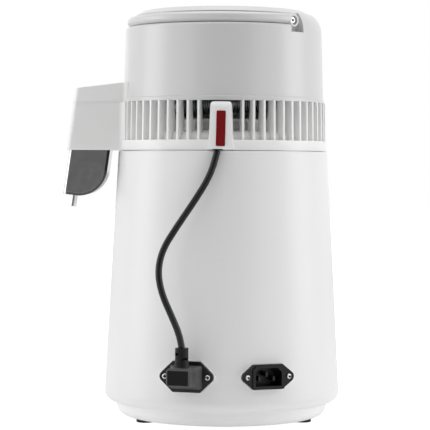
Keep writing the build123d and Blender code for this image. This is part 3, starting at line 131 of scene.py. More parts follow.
# Handle pin: its shank, its head as (in from the rim, below the tip), its hollow as (radius, below the tip)
# and a depth below the tip that takes in the whole hollow
PIN_SHANK = 0.0025
PIN_HEAD = [(0, 0.0018), (0, 0.0007), (0.0004, 0.0003), (0.0010, 0.0003), (0.0012, 0.0006)]
PIN_HOLLOW = [(0.0014, 0.0006), (0.0013, 0.0013), (0, 0.0015)]
PIN_HOLLOW_FLOOR = 0.0016

# Camera, with its sensor in millimetres and its nearest view in metres
SENSOR_WIDTH = 36.0
NEAREST = 0.05

# Studio, in metres: the softboxes, the point that they face, the flag and the floor
SIDE_ANGLES = {"softbox_left": radians(-85), "softbox_right": radians(85)}
SIDE_DISTANCE = 1.2
SIDE_HEIGHT = 0.42
SIDE_SIZE = (0.6, 0.9)
TOP_PLACE = Vector((-0.1, 0, 1.6))
TOP_SIZE = (1.2, 1.2)
LAMP_AIM = Vector((0, 0, 0.2))
FLAG_PLACE = (2.4, 0, 0.9)
FLAG_WIDTH = 3.0
FLAG_HEIGHT = 1.8
FLOOR_REACH = 8.0

# Floor: its grey, the light that the camera sees it give, and the light that it throws back up
FLOOR_SHADE = 0.88
FLOOR_SHOWN = 0.72
FLOOR_BOUNCE = 0.20

# Route of the fan lead, from the tab's gland down to the plug's relief
LEAD_ROUTE = [
    (0.1029, -0.0052, 0.2536),
    (0.1041, -0.0073, 0.2433),
    (0.1070, -0.0135, 0.2264),
    (0.1113, -0.0263, 0.2059),
    (0.1164, -0.0416, 0.1834),
    (0.1205, -0.0538, 0.1636),
    (0.1238, -0.0576, 0.1448),
    (0.1260, -0.0542, 0.1259),
    (0.1270, -0.0454, 0.1062),
    (0.1265, -0.0376, 0.0881),
    (0.1259, -0.0359, 0.0768),
]


class DistillerSizes(bpy.types.PropertyGroup):
    """Sizes of the pieces that are made here."""

    lead_diameter: FloatProperty(
        name="Lead diameter", description="Thickness of the fan lead", default=0.006, unit="LENGTH"
    )
    fin_count: IntProperty(
        name="Fins", description="Fins along the condenser's turns", default=300, min=20, max=600
    )
    fin_radius: FloatProperty(
        name="Fin radius", description="Outside radius of a condenser fin", default=0.010, unit="LENGTH"
    )
    fin_thickness: FloatProperty(
        name="Fin thickness", description="Sheet that a fin is cut from", default=0.0005, unit="LENGTH"
    )
    coil_radius: FloatProperty(
        name="Coil radius", description="Middle of the condenser's turns", default=0.067, unit="LENGTH"
    )
    coil_pitch: FloatProperty(
        name="Coil pitch", description="Climb of one turn", default=0.0215, unit="LENGTH"
    )
    coil_turns: FloatProperty(name="Coil turns", description="Turns of the condenser", default=1.5)
    dome_radius: FloatProperty(
        name="Dome radius", description="Outside of the steam dome's wall", default=0.080, unit="LENGTH"
    )
    dome_sheet: FloatProperty(
        name="Dome sheet", description="Thickness of the steam dome", default=0.0012, unit="LENGTH"
    )
    crown_radius: FloatProperty(
        name="Crown radius", description="Foot of the dome's raised crown", default=0.0565, unit="LENGTH"
    )
    crown_rise: FloatProperty(
        name="Crown rise", description="Crown above the dome", default=0.009, unit="LENGTH"
    )
    screw_radius: FloatProperty(
        name="Screw radius", description="Head of a socket screw", default=0.0025, unit="LENGTH"
    )
    screw_spacing: FloatProperty(
        name="Screw spacing", description="Between a socket's two screws", default=0.040, unit="LENGTH"
    )
    pin_head_radius: FloatProperty(
        name="Pin head radius", description="Head of a handle pin", default=0.0030, unit="LENGTH"
    )


class DistillerColours(bpy.types.PropertyGroup):
    """Colours of the finishes."""

    enamel: FloatVectorProperty(
        name="Enamel", description="Painted lower shell", subtype="COLOR", default=(0.84, 0.84, 0.84)
    )
    # The head's white plastic, set darker than the real plastic: painted shade, which darkens the whole head
    # for the dim front of its drum
    moulding: FloatVectorProperty(
        name="Moulding", description="White plastic of the head", subtype="COLOR",
        default=(0.66, 0.66, 0.66),
    )
    # The same white plastic in a paler tone: painted light for the stronger light on the slats and the spout
    vent: FloatVectorProperty(
        name="Vent ring", description="Paler plastic of the slatted ring and the spout", subtype="COLOR",
        default=(0.89, 0.89, 0.885),
    )
    # White plastic of the base tray, set paler: partly its own white, partly painted light from the floor
    # below
    tray: FloatVectorProperty(
        name="Tray", description="White plastic of the base tray", subtype="COLOR", default=(0.94, 0.94, 0.94)
    )
    black: FloatVectorProperty(
        name="Black plastic", description="Sockets and the plug's face", subtype="COLOR",
        default=(0.004, 0.004, 0.0045),
    )
    # The plug's black plastic, painted a paler grey on its sides: a duller finish, with painted light from
    # the lamps over and beside it
    plug_side_painted_light: FloatVectorProperty(
        name="Plug sides", description="Dull sides of the plug", subtype="COLOR",
        default=(0.085, 0.085, 0.086),
    )
    rubber: FloatVectorProperty(
        name="Rubber", description="Feet, gland and lead", subtype="COLOR", default=(0.005, 0.005, 0.0055)
    )
    plating: FloatVectorProperty(
        name="Plating", description="Filter cup and nozzle", subtype="COLOR", default=(0.87, 0.87, 0.88)
    )
    steel: FloatVectorProperty(
        name="Steel", description="Pot, dome and condenser tube", subtype="COLOR", default=(0.50, 0.50, 0.49)
    )
    sticker: FloatVectorProperty(
        name="Sticker", description="Bare sticker on the tab", subtype="COLOR", default=(0.19, 0.001, 0.004)
    )


class DistillerStudio(bpy.types.PropertyGroup):
    """Camera and light."""

    lens: FloatProperty(name="Lens", description="Focal length on a 36 mm sensor", default=148.5)
    distance: FloatProperty(
        name="Distance", description="From the axis to the camera", default=1.691, unit="LENGTH"
    )
    eye_height: FloatProperty(
        name="Eye height", description="Camera above the counter", default=0.2393, unit="LENGTH"
    )
    aim_height: FloatProperty(
        name="Aim height", description="Where the camera looks on the axis", default=0.1916, unit="LENGTH"
    )
    aside: FloatProperty(
        name="Aside", description="Camera's step towards the spout", default=0.0072, unit="LENGTH"
    )
    roll: FloatProperty(name="Roll", description="Camera's tilt", default=radians(0.33), unit="ROTATION")
    side_power: FloatProperty(name="Side power", description="Each side softbox, in watts", default=3.5)
    top_power: FloatProperty(name="Top power", description="Softbox overhead, in watts", default=8.4)
    room_light: FloatProperty(name="Room light", description="Light from all round", default=0.645)
    flag_shade: FloatProperty(
        name="Flag shade", description="Grey of the cloth behind the camera", default=0.16, min=0.0, max=1.0
    )


def sizes():
    """Sizes that the panel shows."""
    return bpy.context.scene.distiller_sizes


def colours():
    """Colours that the panel shows."""
    return bpy.context.scene.distiller_colours


def studio():
    """Camera and light that the panel shows."""
    return bpy.context.scene.distiller_studio


def feed(tree, socket, value):
    """Links another socket to a node's input, or sets a constant on it."""
    if isinstance(value, bpy.types.NodeSocket):
        tree.links.new(value, socket)
    else:
        socket.default_value = value


def compute(tree, operation, *values, kind="ShaderNodeMath"):
    """Adds a math node on sockets and constants, and returns its value."""
    node = tree.nodes.new(kind)
    node.operation = operation
    for socket, value in zip(node.inputs, values):
        feed(tree, socket, value)
    return node.outputs["Value"]


def reach_of(tree, place, direction):
    """Adds a node that gives a place's distance along a direction, and returns its value."""
    return compute(tree, "DOT_PRODUCT", place, direction, kind="ShaderNodeVectorMath")


def map_range(tree, value, start, end, low=0.0, high=1.0):
    """Adds a node that maps a value from one range to another, and returns its result."""
    node = tree.nodes.new("ShaderNodeMapRange")
    for name, number in (("From Min", start), ("From Max", end), ("To Min", low), ("To Max", high)):
        node.inputs[name].default_value = number
    tree.links.new(value, node.inputs["Value"])
    return node.outputs["Result"]


def noise(tree, place, scale, detail):
    """Adds a noise, and returns its value."""
    node = tree.nodes.new("ShaderNodeTexNoise")
    node.inputs["Scale"].default_value = scale
    node.inputs["Detail"].default_value = detail
    tree.links.new(place, node.inputs["Vector"])
    return node.outputs["Fac"]


def finish(name, colour, rough, metallic=0.0, tint=0.03, cloud=9.0, grain=500.0, relief=0.0,
           stretch=(1, 1, 1), coat=0.0, glow=0.0, shine=0.5, beyond=(), bands=(), recess=None):
    """A finish on Object coordinates: a broad drift of colour, a grain in the gloss and a fine relief.

    With beyond, rows of (colour, direction, reach, softness), it changes past that distance along each.
    With bands, rows of (colour, low, high, direction, line, side), it changes at those distances either way
    from the middle, past or short of a line along a direction.
    With recess, a colour, it paints shade in that colour on the faces whose recess attribute is 1.
    """
    material = bpy.data.materials.new(name)
    material.use_nodes = True
    tree = material.node_tree
    shader = tree.nodes["Principled BSDF"]
    plain = {
        "Metallic": metallic,
        "Specular IOR Level": shine,
        "Coat Weight": coat,
        "Coat Roughness": COAT_ROUGHNESS,
        "Subsurface Weight": glow,
        "Subsurface Radius": (1, 1, 1),
        "Subsurface Scale": GLOW_DEPTH,
    }
    for socket, value in plain.items():
        shader.inputs[socket].default_value = value
    place = tree.nodes.new("ShaderNodeTexCoord").outputs["Object"]
    drift = noise(tree, place, cloud, DRIFT_DETAIL)
    shade = drifting(tree, drift, colour, tint)
    masks = [(row[0], beyond_mask(tree, place, *row[1:])) for row in beyond]
    masks += [(row[0], band_mask(tree, place, *row[1:])) for row in bands]
    if recess:
        recess_shade = tree.nodes.new("ShaderNodeAttribute")
        recess_shade.attribute_name = "recess"
        masks.append((recess, recess_shade.outputs["Fac"]))
    for other, mask in masks:
        both = tree.nodes.new("ShaderNodeMix")
        both.data_type = "RGBA"
        tree.links.new(mask, both.inputs["Factor"])
        tree.links.new(shade, both.inputs[MIX_FIRST])
        tree.links.new(drifting(tree, drift, other, tint), both.inputs[MIX_SECOND])
        shade = both.outputs[MIX_RESULT]
    tree.links.new(shade, shader.inputs["Base Color"])
    turn = tree.nodes.new("ShaderNodeMapping")
    turn.inputs["Scale"].default_value = stretch
    tree.links.new(place, turn.inputs["Vector"])
    speck = noise(tree, turn.outputs["Vector"], grain, GRAIN_DETAIL)
    gloss = map_range(tree, speck, NOISE_LOW, NOISE_HIGH, *rough)
    tree.links.new(gloss, shader.inputs["Roughness"])
    if relief:
        bump = tree.nodes.new("ShaderNodeBump")
        bump.inputs["Strength"].default_value = 1.0
        bump.inputs["Distance"].default_value = relief
        tree.links.new(speck, bump.inputs["Height"])
        tree.links.new(bump.outputs["Normal"], shader.inputs["Normal"])
    return material


def drifting(tree, drift, colour, tint):
    """Adds a ramp that makes a colour drift a little with a noise, and returns its colour."""
    shade = tree.nodes.new("ShaderNodeValToRGB")
    dark, light = shade.color_ramp.elements
    dark.position = NOISE_LOW
    dark.color = (*[part * (1 - tint) for part in colour], 1)
    light.position = NOISE_HIGH
    light.color = (*[min(1, part * (1 + tint)) for part in colour], 1)
    tree.links.new(drift, shade.inputs["Fac"])
    return shade.outputs["Color"]


def beyond_mask(tree, place, direction, reach, softness):
    """1 past a distance along a direction, with a soft edge."""
    return map_range(tree, reach_of(tree, place, direction), reach - softness, reach + softness)


def band_mask(tree, place, low, high, direction, line, side):
    """1 between two distances either way from the middle in X, past or short of a line along a direction."""
    split = tree.nodes.new("ShaderNodeSeparateXYZ")
    tree.links.new(place, split.inputs["Vector"])
    aside = compute(tree, "ABSOLUTE", split.outputs["X"])
    near = compute(tree, "COMPARE", aside, (low + high) / 2, (high - low) / 2)
    along = reach_of(tree, place, direction)
    past = compute(tree, "GREATER_THAN" if side == "past" else "LESS_THAN", along, line)
    return compute(tree, "MULTIPLY", near, past)


def finishes():
    """Every finish of the part, made once and kept by name."""
    if "enamel" in bpy.data.materials:
        return bpy.data.materials
    tone = colours()
    smooth = {"tint": 0.008, "grain": 160.0, "relief": 0.0000005}
    plated = {"metallic": 1.0, "tint": 0.02, "cloud": 20.0, "grain": 240.0}
    finish("enamel", tone.enamel, (0.30, 0.36), tint=0.008, grain=240.0, relief=0.000003)
    finish("moulding", tone.moulding, (0.28, 0.31), shine=0.7, **smooth)
    # Past the spout's root the cover takes the vent ring's paler tone: painted light on the spout
    finish("cover_moulding", tone.moulding, (0.28, 0.31), shine=0.7, **smooth,
           beyond=[(tone.vent, (0, -1, 0), SPOUT_ROOT, SPOUT_EDGE)])
    finish("vent_moulding", tone.vent, (0.28, 0.32), glow=0.4, **smooth)
    finish("tray_moulding", tone.tray, (0.30, 0.38), tint=0.01, grain=400.0, relief=0.000004)
    finish("black_moulding", tone.black, (0.30, 0.42), tint=0.2, cloud=60.0, grain=1500.0, relief=0.00001,
           shine=0.4)
    finish("plug_moulding", tone.plug_side_painted_light, (0.40, 0.52), tint=0.2, cloud=90.0, grain=1500.0, relief=0.000015,
           shine=0.2, beyond=plug_colours())
    finish("rubber", tone.rubber, (0.5, 0.7), tint=0.25, cloud=80.0, grain=1800.0, relief=0.00004)
    finish("lead_jacket", tone.rubber, (0.30, 0.42), tint=0.2, cloud=60.0, grain=900.0, relief=0.000005,
           shine=0.4)
    finish("seal", (0.62, 0.61, 0.58), (0.5, 0.62), tint=0.04, cloud=40.0, grain=900.0, relief=0.00002)
    finish("plating", tone.plating, (0.10, 0.16), **plated)
    # The cup's plating carries painted reflections on its rear, underside, bevels and the turn into its front
    finish("cup_plating", tone.plating, (0.10, 0.16), **plated, bands=cup_painted_reflections())
    finish("satin_steel", tone.steel, (0.28, 0.42), 1.0, tint=0.05, cloud=14.0, grain=60.0, relief=0.00001,
           stretch=(1, 1, 26))
    finish("fin_sheet", (0.30, 0.31, 0.32), (0.35, 0.5), 1.0, tint=0.12, cloud=70.0, grain=600.0)
    finish("zinc", (0.62, 0.62, 0.60), (0.22, 0.36), 1.0, tint=0.08, cloud=120.0, grain=1500.0,
           relief=0.00001)
    # Screw heads and handle pins are near black in their cross and hollow: painted shade
    finish("screw_steel", (0.72, 0.72, 0.70), (0.20, 0.32), 1.0, tint=0.06, cloud=120.0, grain=1500.0,
           relief=0.00001, recess=(0.012, 0.012, 0.012))
    # Contacts painted near black, far darker than bare metal: painted shade for the pins deep in the socket
    # mouths
    finish("contact", (0.055, 0.052, 0.046), (0.40, 0.50), 1.0, tint=0.06, cloud=90.0, grain=900.0)
    finish("motor_paint", (0.035, 0.035, 0.038), (0.4, 0.55), tint=0.15, cloud=40.0, grain=900.0,
           relief=0.00002)
    finish("fan_moulding", (0.03, 0.03, 0.032), (0.4, 0.5), tint=0.1, cloud=30.0, grain=900.0, relief=0.00001)
    finish("button_moulding", (0.13, 0.135, 0.14), (0.28, 0.38), tint=0.06, cloud=60.0, grain=900.0,
           relief=0.00001)
    finish("indicator", (0.42, 0.03, 0.02), (0.08, 0.14), tint=0.1, cloud=120.0, grain=500.0, coat=0.6)
    finish("sticker_film", tone.sticker, (0.34, 0.44), tint=0.05, cloud=60.0, grain=1200.0, relief=0.000006,
           shine=0.3)
    return bpy.data.materials


# Nodes of the model that each finish goes on
FINISH_OF = {
    "enamel": ["lower_shell"],
    "moulding": ["top_cap", "carry_handle"],
    "cover_moulding": ["head_cover"],
    "vent_moulding": ["vent_ring"],
    "tray_moulding": ["base_tray"],
    "black_moulding": ["power_inlet", "power_outlet", "button_switch", "thermostats"],
    "plug_moulding": ["plug_body"],
    "rubber": ["feet", "cord_gland"],
    "lead_jacket": ["fan_cord"],
    "seal": ["head_gasket"],
    "plating": ["spout_nozzle"],
    "cup_plating": ["filter_cup"],
    "satin_steel": ["boiler_pot", "steam_dome", "condenser_coil", "heater_element", "heater_plate"],
    "fin_sheet": ["condenser_fins"],
    "zinc": [
        "foot_screws", "tray_screws", "dome_screws", "cover_screws", "bracket_screws", "support_posts",
        "motor_bracket", "fan_shaft", "socket_screws", "handle_pins",
    ],
    "contact": ["inlet_pins", "outlet_contacts", "plug_pins"],
    "motor_paint": ["fan_motor"],
    "fan_moulding": ["fan_rotor"],
    "button_moulding": ["button_bezel", "start_button"],
    "indicator": ["indicator_lens"],
    "sticker_film": ["red_sticker"],
}


def cup_painted_reflections():
    """Painted dim reflection on the cup's rear and underside and on the turn into its front, and painted dark
    reflection on its bevels there.
    """
    half_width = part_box("filter_cup")[1][0]
    # Each band ends a little inside its edge, so that the face beside it keeps its own plating
    bevel_start = half_width - 0.98 * CUP_BEVEL
    bevel_end = half_width - 0.02 * CUP_BEVEL
    turn_start = half_width - 0.98 * CUP_EDGE
    turn_end = half_width - 0.30 * CUP_EDGE
    front = (0, -cos(SPOUT_TILT), sin(SPOUT_TILT))
    line = CUP_FRONT - CUP_EDGE
    return [
        (DIM_PAINTED_REFLECTION, 0.0, bevel_start, front, line, "short"),
        (DARK_PAINTED_REFLECTION, bevel_start, bevel_end, front, line, "short"),
        (DIM_PAINTED_REFLECTION, turn_start, turn_end, front, line, "past"),
    ]


def plug_colours():
    """Black on the plug's face, over the paler grey of its sides that is painted light, and a little paler on
    the relief that the lead comes out of.
    """
    face = (cos(OUTLET_ANGLE), sin(OUTLET_ANGLE), 0)
    face_reach = reach_along("plug_body", OUTLET_ANGLE) - PLUG_FACE_DEPTH
    black = colours().black
    paler = [2 * part for part in black]
    return [
        (black, face, face_reach, PLUG_FACE_EDGE),
        (paler, (0, 0, 1), SOCKET_HEIGHT + PLUG_RELIEF_FOOT, PLUG_RELIEF_EDGE),
    ]


def reach_along(node, angle, aside=0.0):
    """How far a piece of the model stands out along an angle, read where it is at least so far aside."""
    out = Vector((cos(angle), sin(angle), 0))
    side = Vector((-sin(angle), cos(angle), 0))
    corners = [vertex.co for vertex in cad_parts[node].data.vertices]
    return max(corner.dot(out) for corner in corners if abs(corner.dot(side)) >= aside)


def place_object(name, data):
    """Object at the origin that holds data, in the scene."""
    item = bpy.data.objects.new(name, data)
    bpy.context.scene.collection.objects.link(item)
    return item


def new_piece(name, mesh, material):
    """Object that holds a finished mesh."""
    mesh.materials.clear()
    mesh.materials.append(finishes()[material])
    return place_object(name, mesh)


def mesh_from(bm, name):
    """Mesh made from a bmesh, which is freed."""
    mesh = bpy.data.meshes.new(name)
    bm.to_mesh(mesh)
    bm.free()
    return mesh


def final_mesh(holder):
    """Mesh of a holder as its modifiers leave it; the holder is removed."""
    graph = bpy.context.evaluated_depsgraph_get()
    mesh = bpy.data.meshes.new_from_object(holder.evaluated_get(graph))
    bpy.data.objects.remove(holder)
    return mesh


def aimed(place, aim, roll=0.0):
    """Matrix of a camera or lamp that stands at a place and faces an aim."""
    look = (aim - place).to_track_quat("-Z", "Y") @ Quaternion((0, 0, 1), roll)
    return Matrix.Translation(place) @ look.to_matrix().to_4x4()


def smooth_by_angle(mesh, angle=radians(35)):
    """Smooth faces, with the edges sharper than an angle left crisp."""
    mesh.shade_smooth()
    mesh.set_sharp_from_angle(angle=angle)


def lathe(profile, steps):
    """Closed mesh turned round Z from a profile of (radius, height) that starts and ends on the axis."""
    bm = bmesh.new()
    rings = []
    for radius, height in profile:
        if radius == 0:
            rings.append([bm.verts.new((0, 0, height))])
            continue
        ring = []
        for k in range(steps):
            turn = 2 * pi * k / steps
            ring.append(bm.verts.new((radius * cos(turn), radius * sin(turn), height)))
        rings.append(ring)
    for low, high in zip(rings, rings[1:]):
        for k in range(steps):
            after = (k + 1) % steps
            corners = [low[k % len(low)], low[after % len(low)], high[after % len(high)], high[k % len(high)]]
            bm.faces.new(list(dict.fromkeys(corners)))
    bmesh.ops.recalc_face_normals(bm, faces=bm.faces)
    return mesh_from(bm, "lathe")


def spline_points(route):
    """Points of the NURBS line through a route's control points."""
    curve = bpy.data.curves.new("route", "CURVE")
    curve.dimensions = "3D"
    curve.resolution_u = 10
    spline = curve.splines.new("NURBS")
    spline.points.add(len(route) - 1)
    for point, place in zip(spline.points, route):
        point.co = (*place, 1)
    spline.order_u = 3
    spline.use_endpoint_u = True
    line = final_mesh(place_object("route", curve))
    points = [vertex.co.copy() for vertex in line.vertices]
    bpy.data.curves.remove(curve)
    bpy.data.meshes.remove(line)
    return points


def tube(points, radius, sides=20):
    """Closed round tube that follows points."""
    bm = bmesh.new()
    heading = (points[1] - points[0]).normalized()
    across = heading.orthogonal().normalized()
    rings = []
    for k, point in enumerate(points):
        ahead = points[min(k + 1, len(points) - 1)] - points[max(k - 1, 0)]
        ahead.normalize()
        across.rotate(heading.rotation_difference(ahead))
        across = (across - ahead * across.dot(ahead)).normalized()
        heading = ahead
        other = heading.cross(across)
        ring = []
        for side in range(sides):
            turn = 2 * pi * side / sides
            ring.append(bm.verts.new(point + (across * cos(turn) + other * sin(turn)) * radius))
        rings.append(ring)
    for low, high in zip(rings, rings[1:]):
        for side in range(sides):
            after = (side + 1) % sides
            bm.faces.new((low[side], low[after], high[after], high[side]))
    bm.faces.new(list(reversed(rings[0])))
    bm.faces.new(rings[-1])
    bmesh.ops.recalc_face_normals(bm, faces=bm.faces)
    mesh = mesh_from(bm, "tube")
    smooth_by_angle(mesh, angle=radians(50))
    return mesh


class Tree:
    """A Geometry Nodes tree under construction, with named inputs."""

    def __init__(self, name):
        self.group = bpy.data.node_groups.new(name, "GeometryNodeTree")
        for way in ("INPUT", "OUTPUT"):
            self.group.interface.new_socket("Geometry", in_out=way, socket_type="NodeSocketGeometry")
        self.input = self.group.nodes.new("NodeGroupInput")
        self.output = self.group.nodes.new("NodeGroupOutput")
        self.names = {}

    def ask(self, name, kind="NodeSocketFloat"):
        """Adds a named input and returns its socket."""
        item = self.group.interface.new_socket(name, in_out="INPUT", socket_type=kind)
        self.names[name] = item.identifier
        return next(socket for socket in self.input.outputs if socket.identifier == item.identifier)

    def add(self, kind, **values):
        """Adds a node; a value is a socket to link or a constant to set on the input of that name."""
        node = self.group.nodes.new(kind)
        for name, value in values.items():
            feed(self.group, node.inputs[name.replace("_", " ").title()], value)
        return node

    def link(self, start, end):
        """Links an output to an input."""
        self.group.links.new(start, end)

    def close(self, geometry):
        """Realizes the instances, sets the material and ends the tree."""
        material = self.ask("Finish", "NodeSocketMaterial")
        real = self.add("GeometryNodeRealizeInstances", geometry=geometry)
        painted = self.add("GeometryNodeSetMaterial", geometry=real.outputs["Geometry"], material=material)
        self.link(painted.outputs["Geometry"], self.output.inputs["Geometry"])

    def grow(self, name, mesh, material, **values):
        """Runs the tree on a mesh and returns a plain object with the result."""
        holder = place_object("holder", mesh)
        modifier = holder.modifiers.new("tree", "NODES")
        modifier.node_group = self.group
        for label, value in values.items():
            modifier[self.names[label.replace("_", " ").capitalize()]] = value
        modifier[self.names["Finish"]] = finishes()[material]
        bpy.context.view_layer.update()
        result = final_mesh(holder)
        smooth_by_angle(result)
        return new_piece(name, result, material)


class DISTILLER_OT_photo_view(bpy.types.Operator):
    """Places the camera where the photograph was taken from"""

    bl_idname = "distiller.photo_view"
    bl_label = "Photo view"

    def execute(self, context):
        view = studio()
        data = bpy.data.cameras.new("photo_camera")
        data.lens = view.lens
        data.sensor_width = SENSOR_WIDTH
        data.clip_start = NEAREST
        camera = place_object("photo_camera", data)
        eye = Vector((view.distance, -view.aside, view.eye_height))
        aim = Vector((0, -view.aside, view.aim_height))
        camera.matrix_world = aimed(eye, aim, view.roll)
        context.scene.camera = camera
        return {"FINISHED"}


class DISTILLER_OT_fan_lead(bpy.types.Operator):
    """Makes the fan lead in two lengths, an upper one from the gland and a lower one down to the plug's
    relief
    """

    bl_idname = "distiller.fan_lead"
    bl_label = "Fan lead"

    def execute(self, context):
        diameter = sizes().lead_diameter
        points = spline_points(LEAD_ROUTE)
        half = len(points) // 2
        upper = new_piece("lead_upper", tube(points[:half + 1], diameter / 2), "lead_jacket")
        lower = new_piece("lead_lower", tube(points[half:], diameter / 2), "lead_jacket")
        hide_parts("fan_cord")
        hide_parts("fan_cord")
        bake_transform(upper)
        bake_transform(lower)
        return {"FINISHED"}


class DISTILLER_OT_model_finishes(bpy.types.Operator):
    """Gives every piece of the model its finish"""

    bl_idname = "distiller.model_finishes"
    bl_label = "Model finishes"

    def execute(self, context):
        made = finishes()
        painted = set()
        for material, names in FINISH_OF.items():
            for name in names:
                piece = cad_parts[name]
                if not piece.material_slots:
                    piece.data.materials.append(made[material])
                for place in piece.material_slots:
                    place.material = made[material]
                painted.add(name)
        left = set(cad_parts) - painted
        if left:
            raise RuntimeError(f"no finish for {sorted(left)}")
        return {"FINISHED"}


class DISTILLER_OT_steam_dome(bpy.types.Operator):
    """Spins the steam dome, with a raised crown round the condenser's riser"""

    bl_idname = "distiller.steam_dome"
    bl_label = "Steam dome"

    def execute(self, context):
        size = sizes()
        low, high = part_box("steam_dome")
        foot, top, rim = low[2], high[2], high[0]
        wall, sheet = size.dome_radius, size.dome_sheet
        crown = size.crown_radius
        crown_top = top + size.crown_rise
        flange_top = foot + sheet
        inner_round = DOME_ROUND - sheet
        outside = [
            (rim, foot),
            (rim, flange_top),
            (wall + DOME_FILLET, flange_top),
            (wall, flange_top + DOME_FILLET),
        ]
        inside = [(wall - sheet, foot)]
        for step in range(ROUND_STEPS + 1):
            turn = pi / 2 * step / ROUND_STEPS
            inward = 1 - cos(turn)
            below = 1 - sin(turn)
            outside.append((wall - DOME_ROUND * inward, top - DOME_ROUND * below))
            inside.append((wall - sheet - inner_round * inward, top - sheet - inner_round * below))
        for line, drop in ((outside, 0), (inside, sheet)):
            line += [(crown - inset, top - drop + rise) for inset, rise in CROWN_FOOT]
            line += [(crown - inset, crown_top - drop - fall) for inset, fall in CROWN_BROW]
            line += [(0, crown_top - drop)]
        mesh = lathe(list(reversed(inside)) + outside, steps=96)
        smooth_by_angle(mesh)
        piece = new_piece("steam_dome_crowned", mesh, "satin_steel")
        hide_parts("steam_dome")
        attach(piece, "head")
        return {"FINISHED"}


class DISTILLER_OT_condenser_fins(bpy.types.Operator):
    """Strings thin fins along the condenser's turns"""

    bl_idname = "distiller.condenser_fins"
    bl_label = "Condenser fins"

    def execute(self, context):
        size = sizes()
        tree = Tree("Fins on a coil")
        turns = tree.ask("Turns")
        radius = tree.ask("Radius")
        rise = tree.ask("Rise")
        foot = tree.ask("Foot", "NodeSocketVector")
        start = tree.ask("Start", "NodeSocketVector")
        count = tree.ask("Count", "NodeSocketInt")
        spiral = tree.add(
            "GeometryNodeCurveSpiral",
            resolution=96,
            rotations=turns,
            start_radius=radius,
            end_radius=radius,
            height=rise,
            reverse=True,
        )
        placed = tree.add(
            "GeometryNodeTransform", geometry=spiral.outputs["Curve"], translation=foot, rotation=start
        )
        points = tree.add("GeometryNodeCurveToPoints", curve=placed.outputs["Geometry"], count=count)
        fins = tree.add(
            "GeometryNodeInstanceOnPoints",
            points=points.outputs["Points"],
            rotation=points.outputs["Rotation"],
            instance=tree.input.outputs["Geometry"],
        )
        tree.close(fins.outputs["Instances"])
        coil_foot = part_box("condenser_fins")[0][2] + size.fin_radius
        half = size.fin_thickness / 2
        profile = [(0, -half), (size.fin_radius, -half), (size.fin_radius, half), (0, half)]
        piece = tree.grow(
            "condenser_fin_set",
            lathe(profile, steps=14),
            "fin_sheet",
            turns=size.coil_turns,
            radius=size.coil_radius,
            rise=size.coil_turns * size.coil_pitch,
            foot=(0.0, 0.0, coil_foot),
            start=(0.0, 0.0, COIL_START),
            count=size.fin_count,
        )
        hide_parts("condenser_fins")
        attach(piece, "head")
        return {"FINISHED"}


def cross_head(radius, height, recess):
    """Pan head with a cross recess, standing on its seat."""
    dome = [(0, 0), (radius, 0), (radius, HEAD_SIDE * height)]
    for step in range(1, ROUND_STEPS):
        turn = pi / 2 * step / ROUND_STEPS
        out = HEAD_FLAT + (1 - HEAD_FLAT) * cos(turn)
        up = HEAD_SIDE + (1 - HEAD_SIDE) * sin(turn)
        dome.append((radius * out, height * up))
    dome += [(HEAD_FLAT * radius, height), (0, height)]
    cutter = bmesh.new()
    for turn in (0, pi / 2):
        bar = bmesh.ops.create_cube(cutter, size=1.0)["verts"]
        size = Matrix.Diagonal((CROSS_LENGTH * radius, CROSS_WIDTH * radius, 2 * recess, 1))
        lifted = Matrix.Translation((0, 0, height)) @ size
        bmesh.ops.transform(cutter, verts=bar, matrix=Matrix.Rotation(turn, 4, "Z") @ lifted)
    head = cut(lathe(dome, steps=36), mesh_from(cutter, "cross"))
    reach = 0.7 * radius
    floor = height - 0.9 * recess

    def in_cross(face):
        upright = abs(face.normal.z) < 0.01
        level = face.normal.z > 0.9
        return (upright and face.center.xy.length < reach) or (level and face.center.z < floor)

    # The cross's walls and floor are marked for painted shade
    mark_recess_shade(head, in_cross)
    return head


def mark_recess_shade(mesh, inside):
    """Writes 1 in the recess attribute of the faces that are inside, and 0 in that of the others; the finish
    paints shade on the faces with 1.
    """
    painted_shade = mesh.attributes.new("recess", "FLOAT", "FACE")
    for face in mesh.polygons:
        painted_shade.data[face.index].value = float(inside(face))


def cut(body_mesh, tool_mesh):
    """Mesh with a tool taken away from it."""
    body = place_object("body", body_mesh)
    tool = place_object("tool", tool_mesh)
    boolean = body.modifiers.new("cut", "BOOLEAN")
    boolean.operation = "DIFFERENCE"
    boolean.solver = "EXACT"
    boolean.use_self = True
    boolean.object = tool
    result = final_mesh(body)
    bpy.data.objects.remove(tool)
    return result


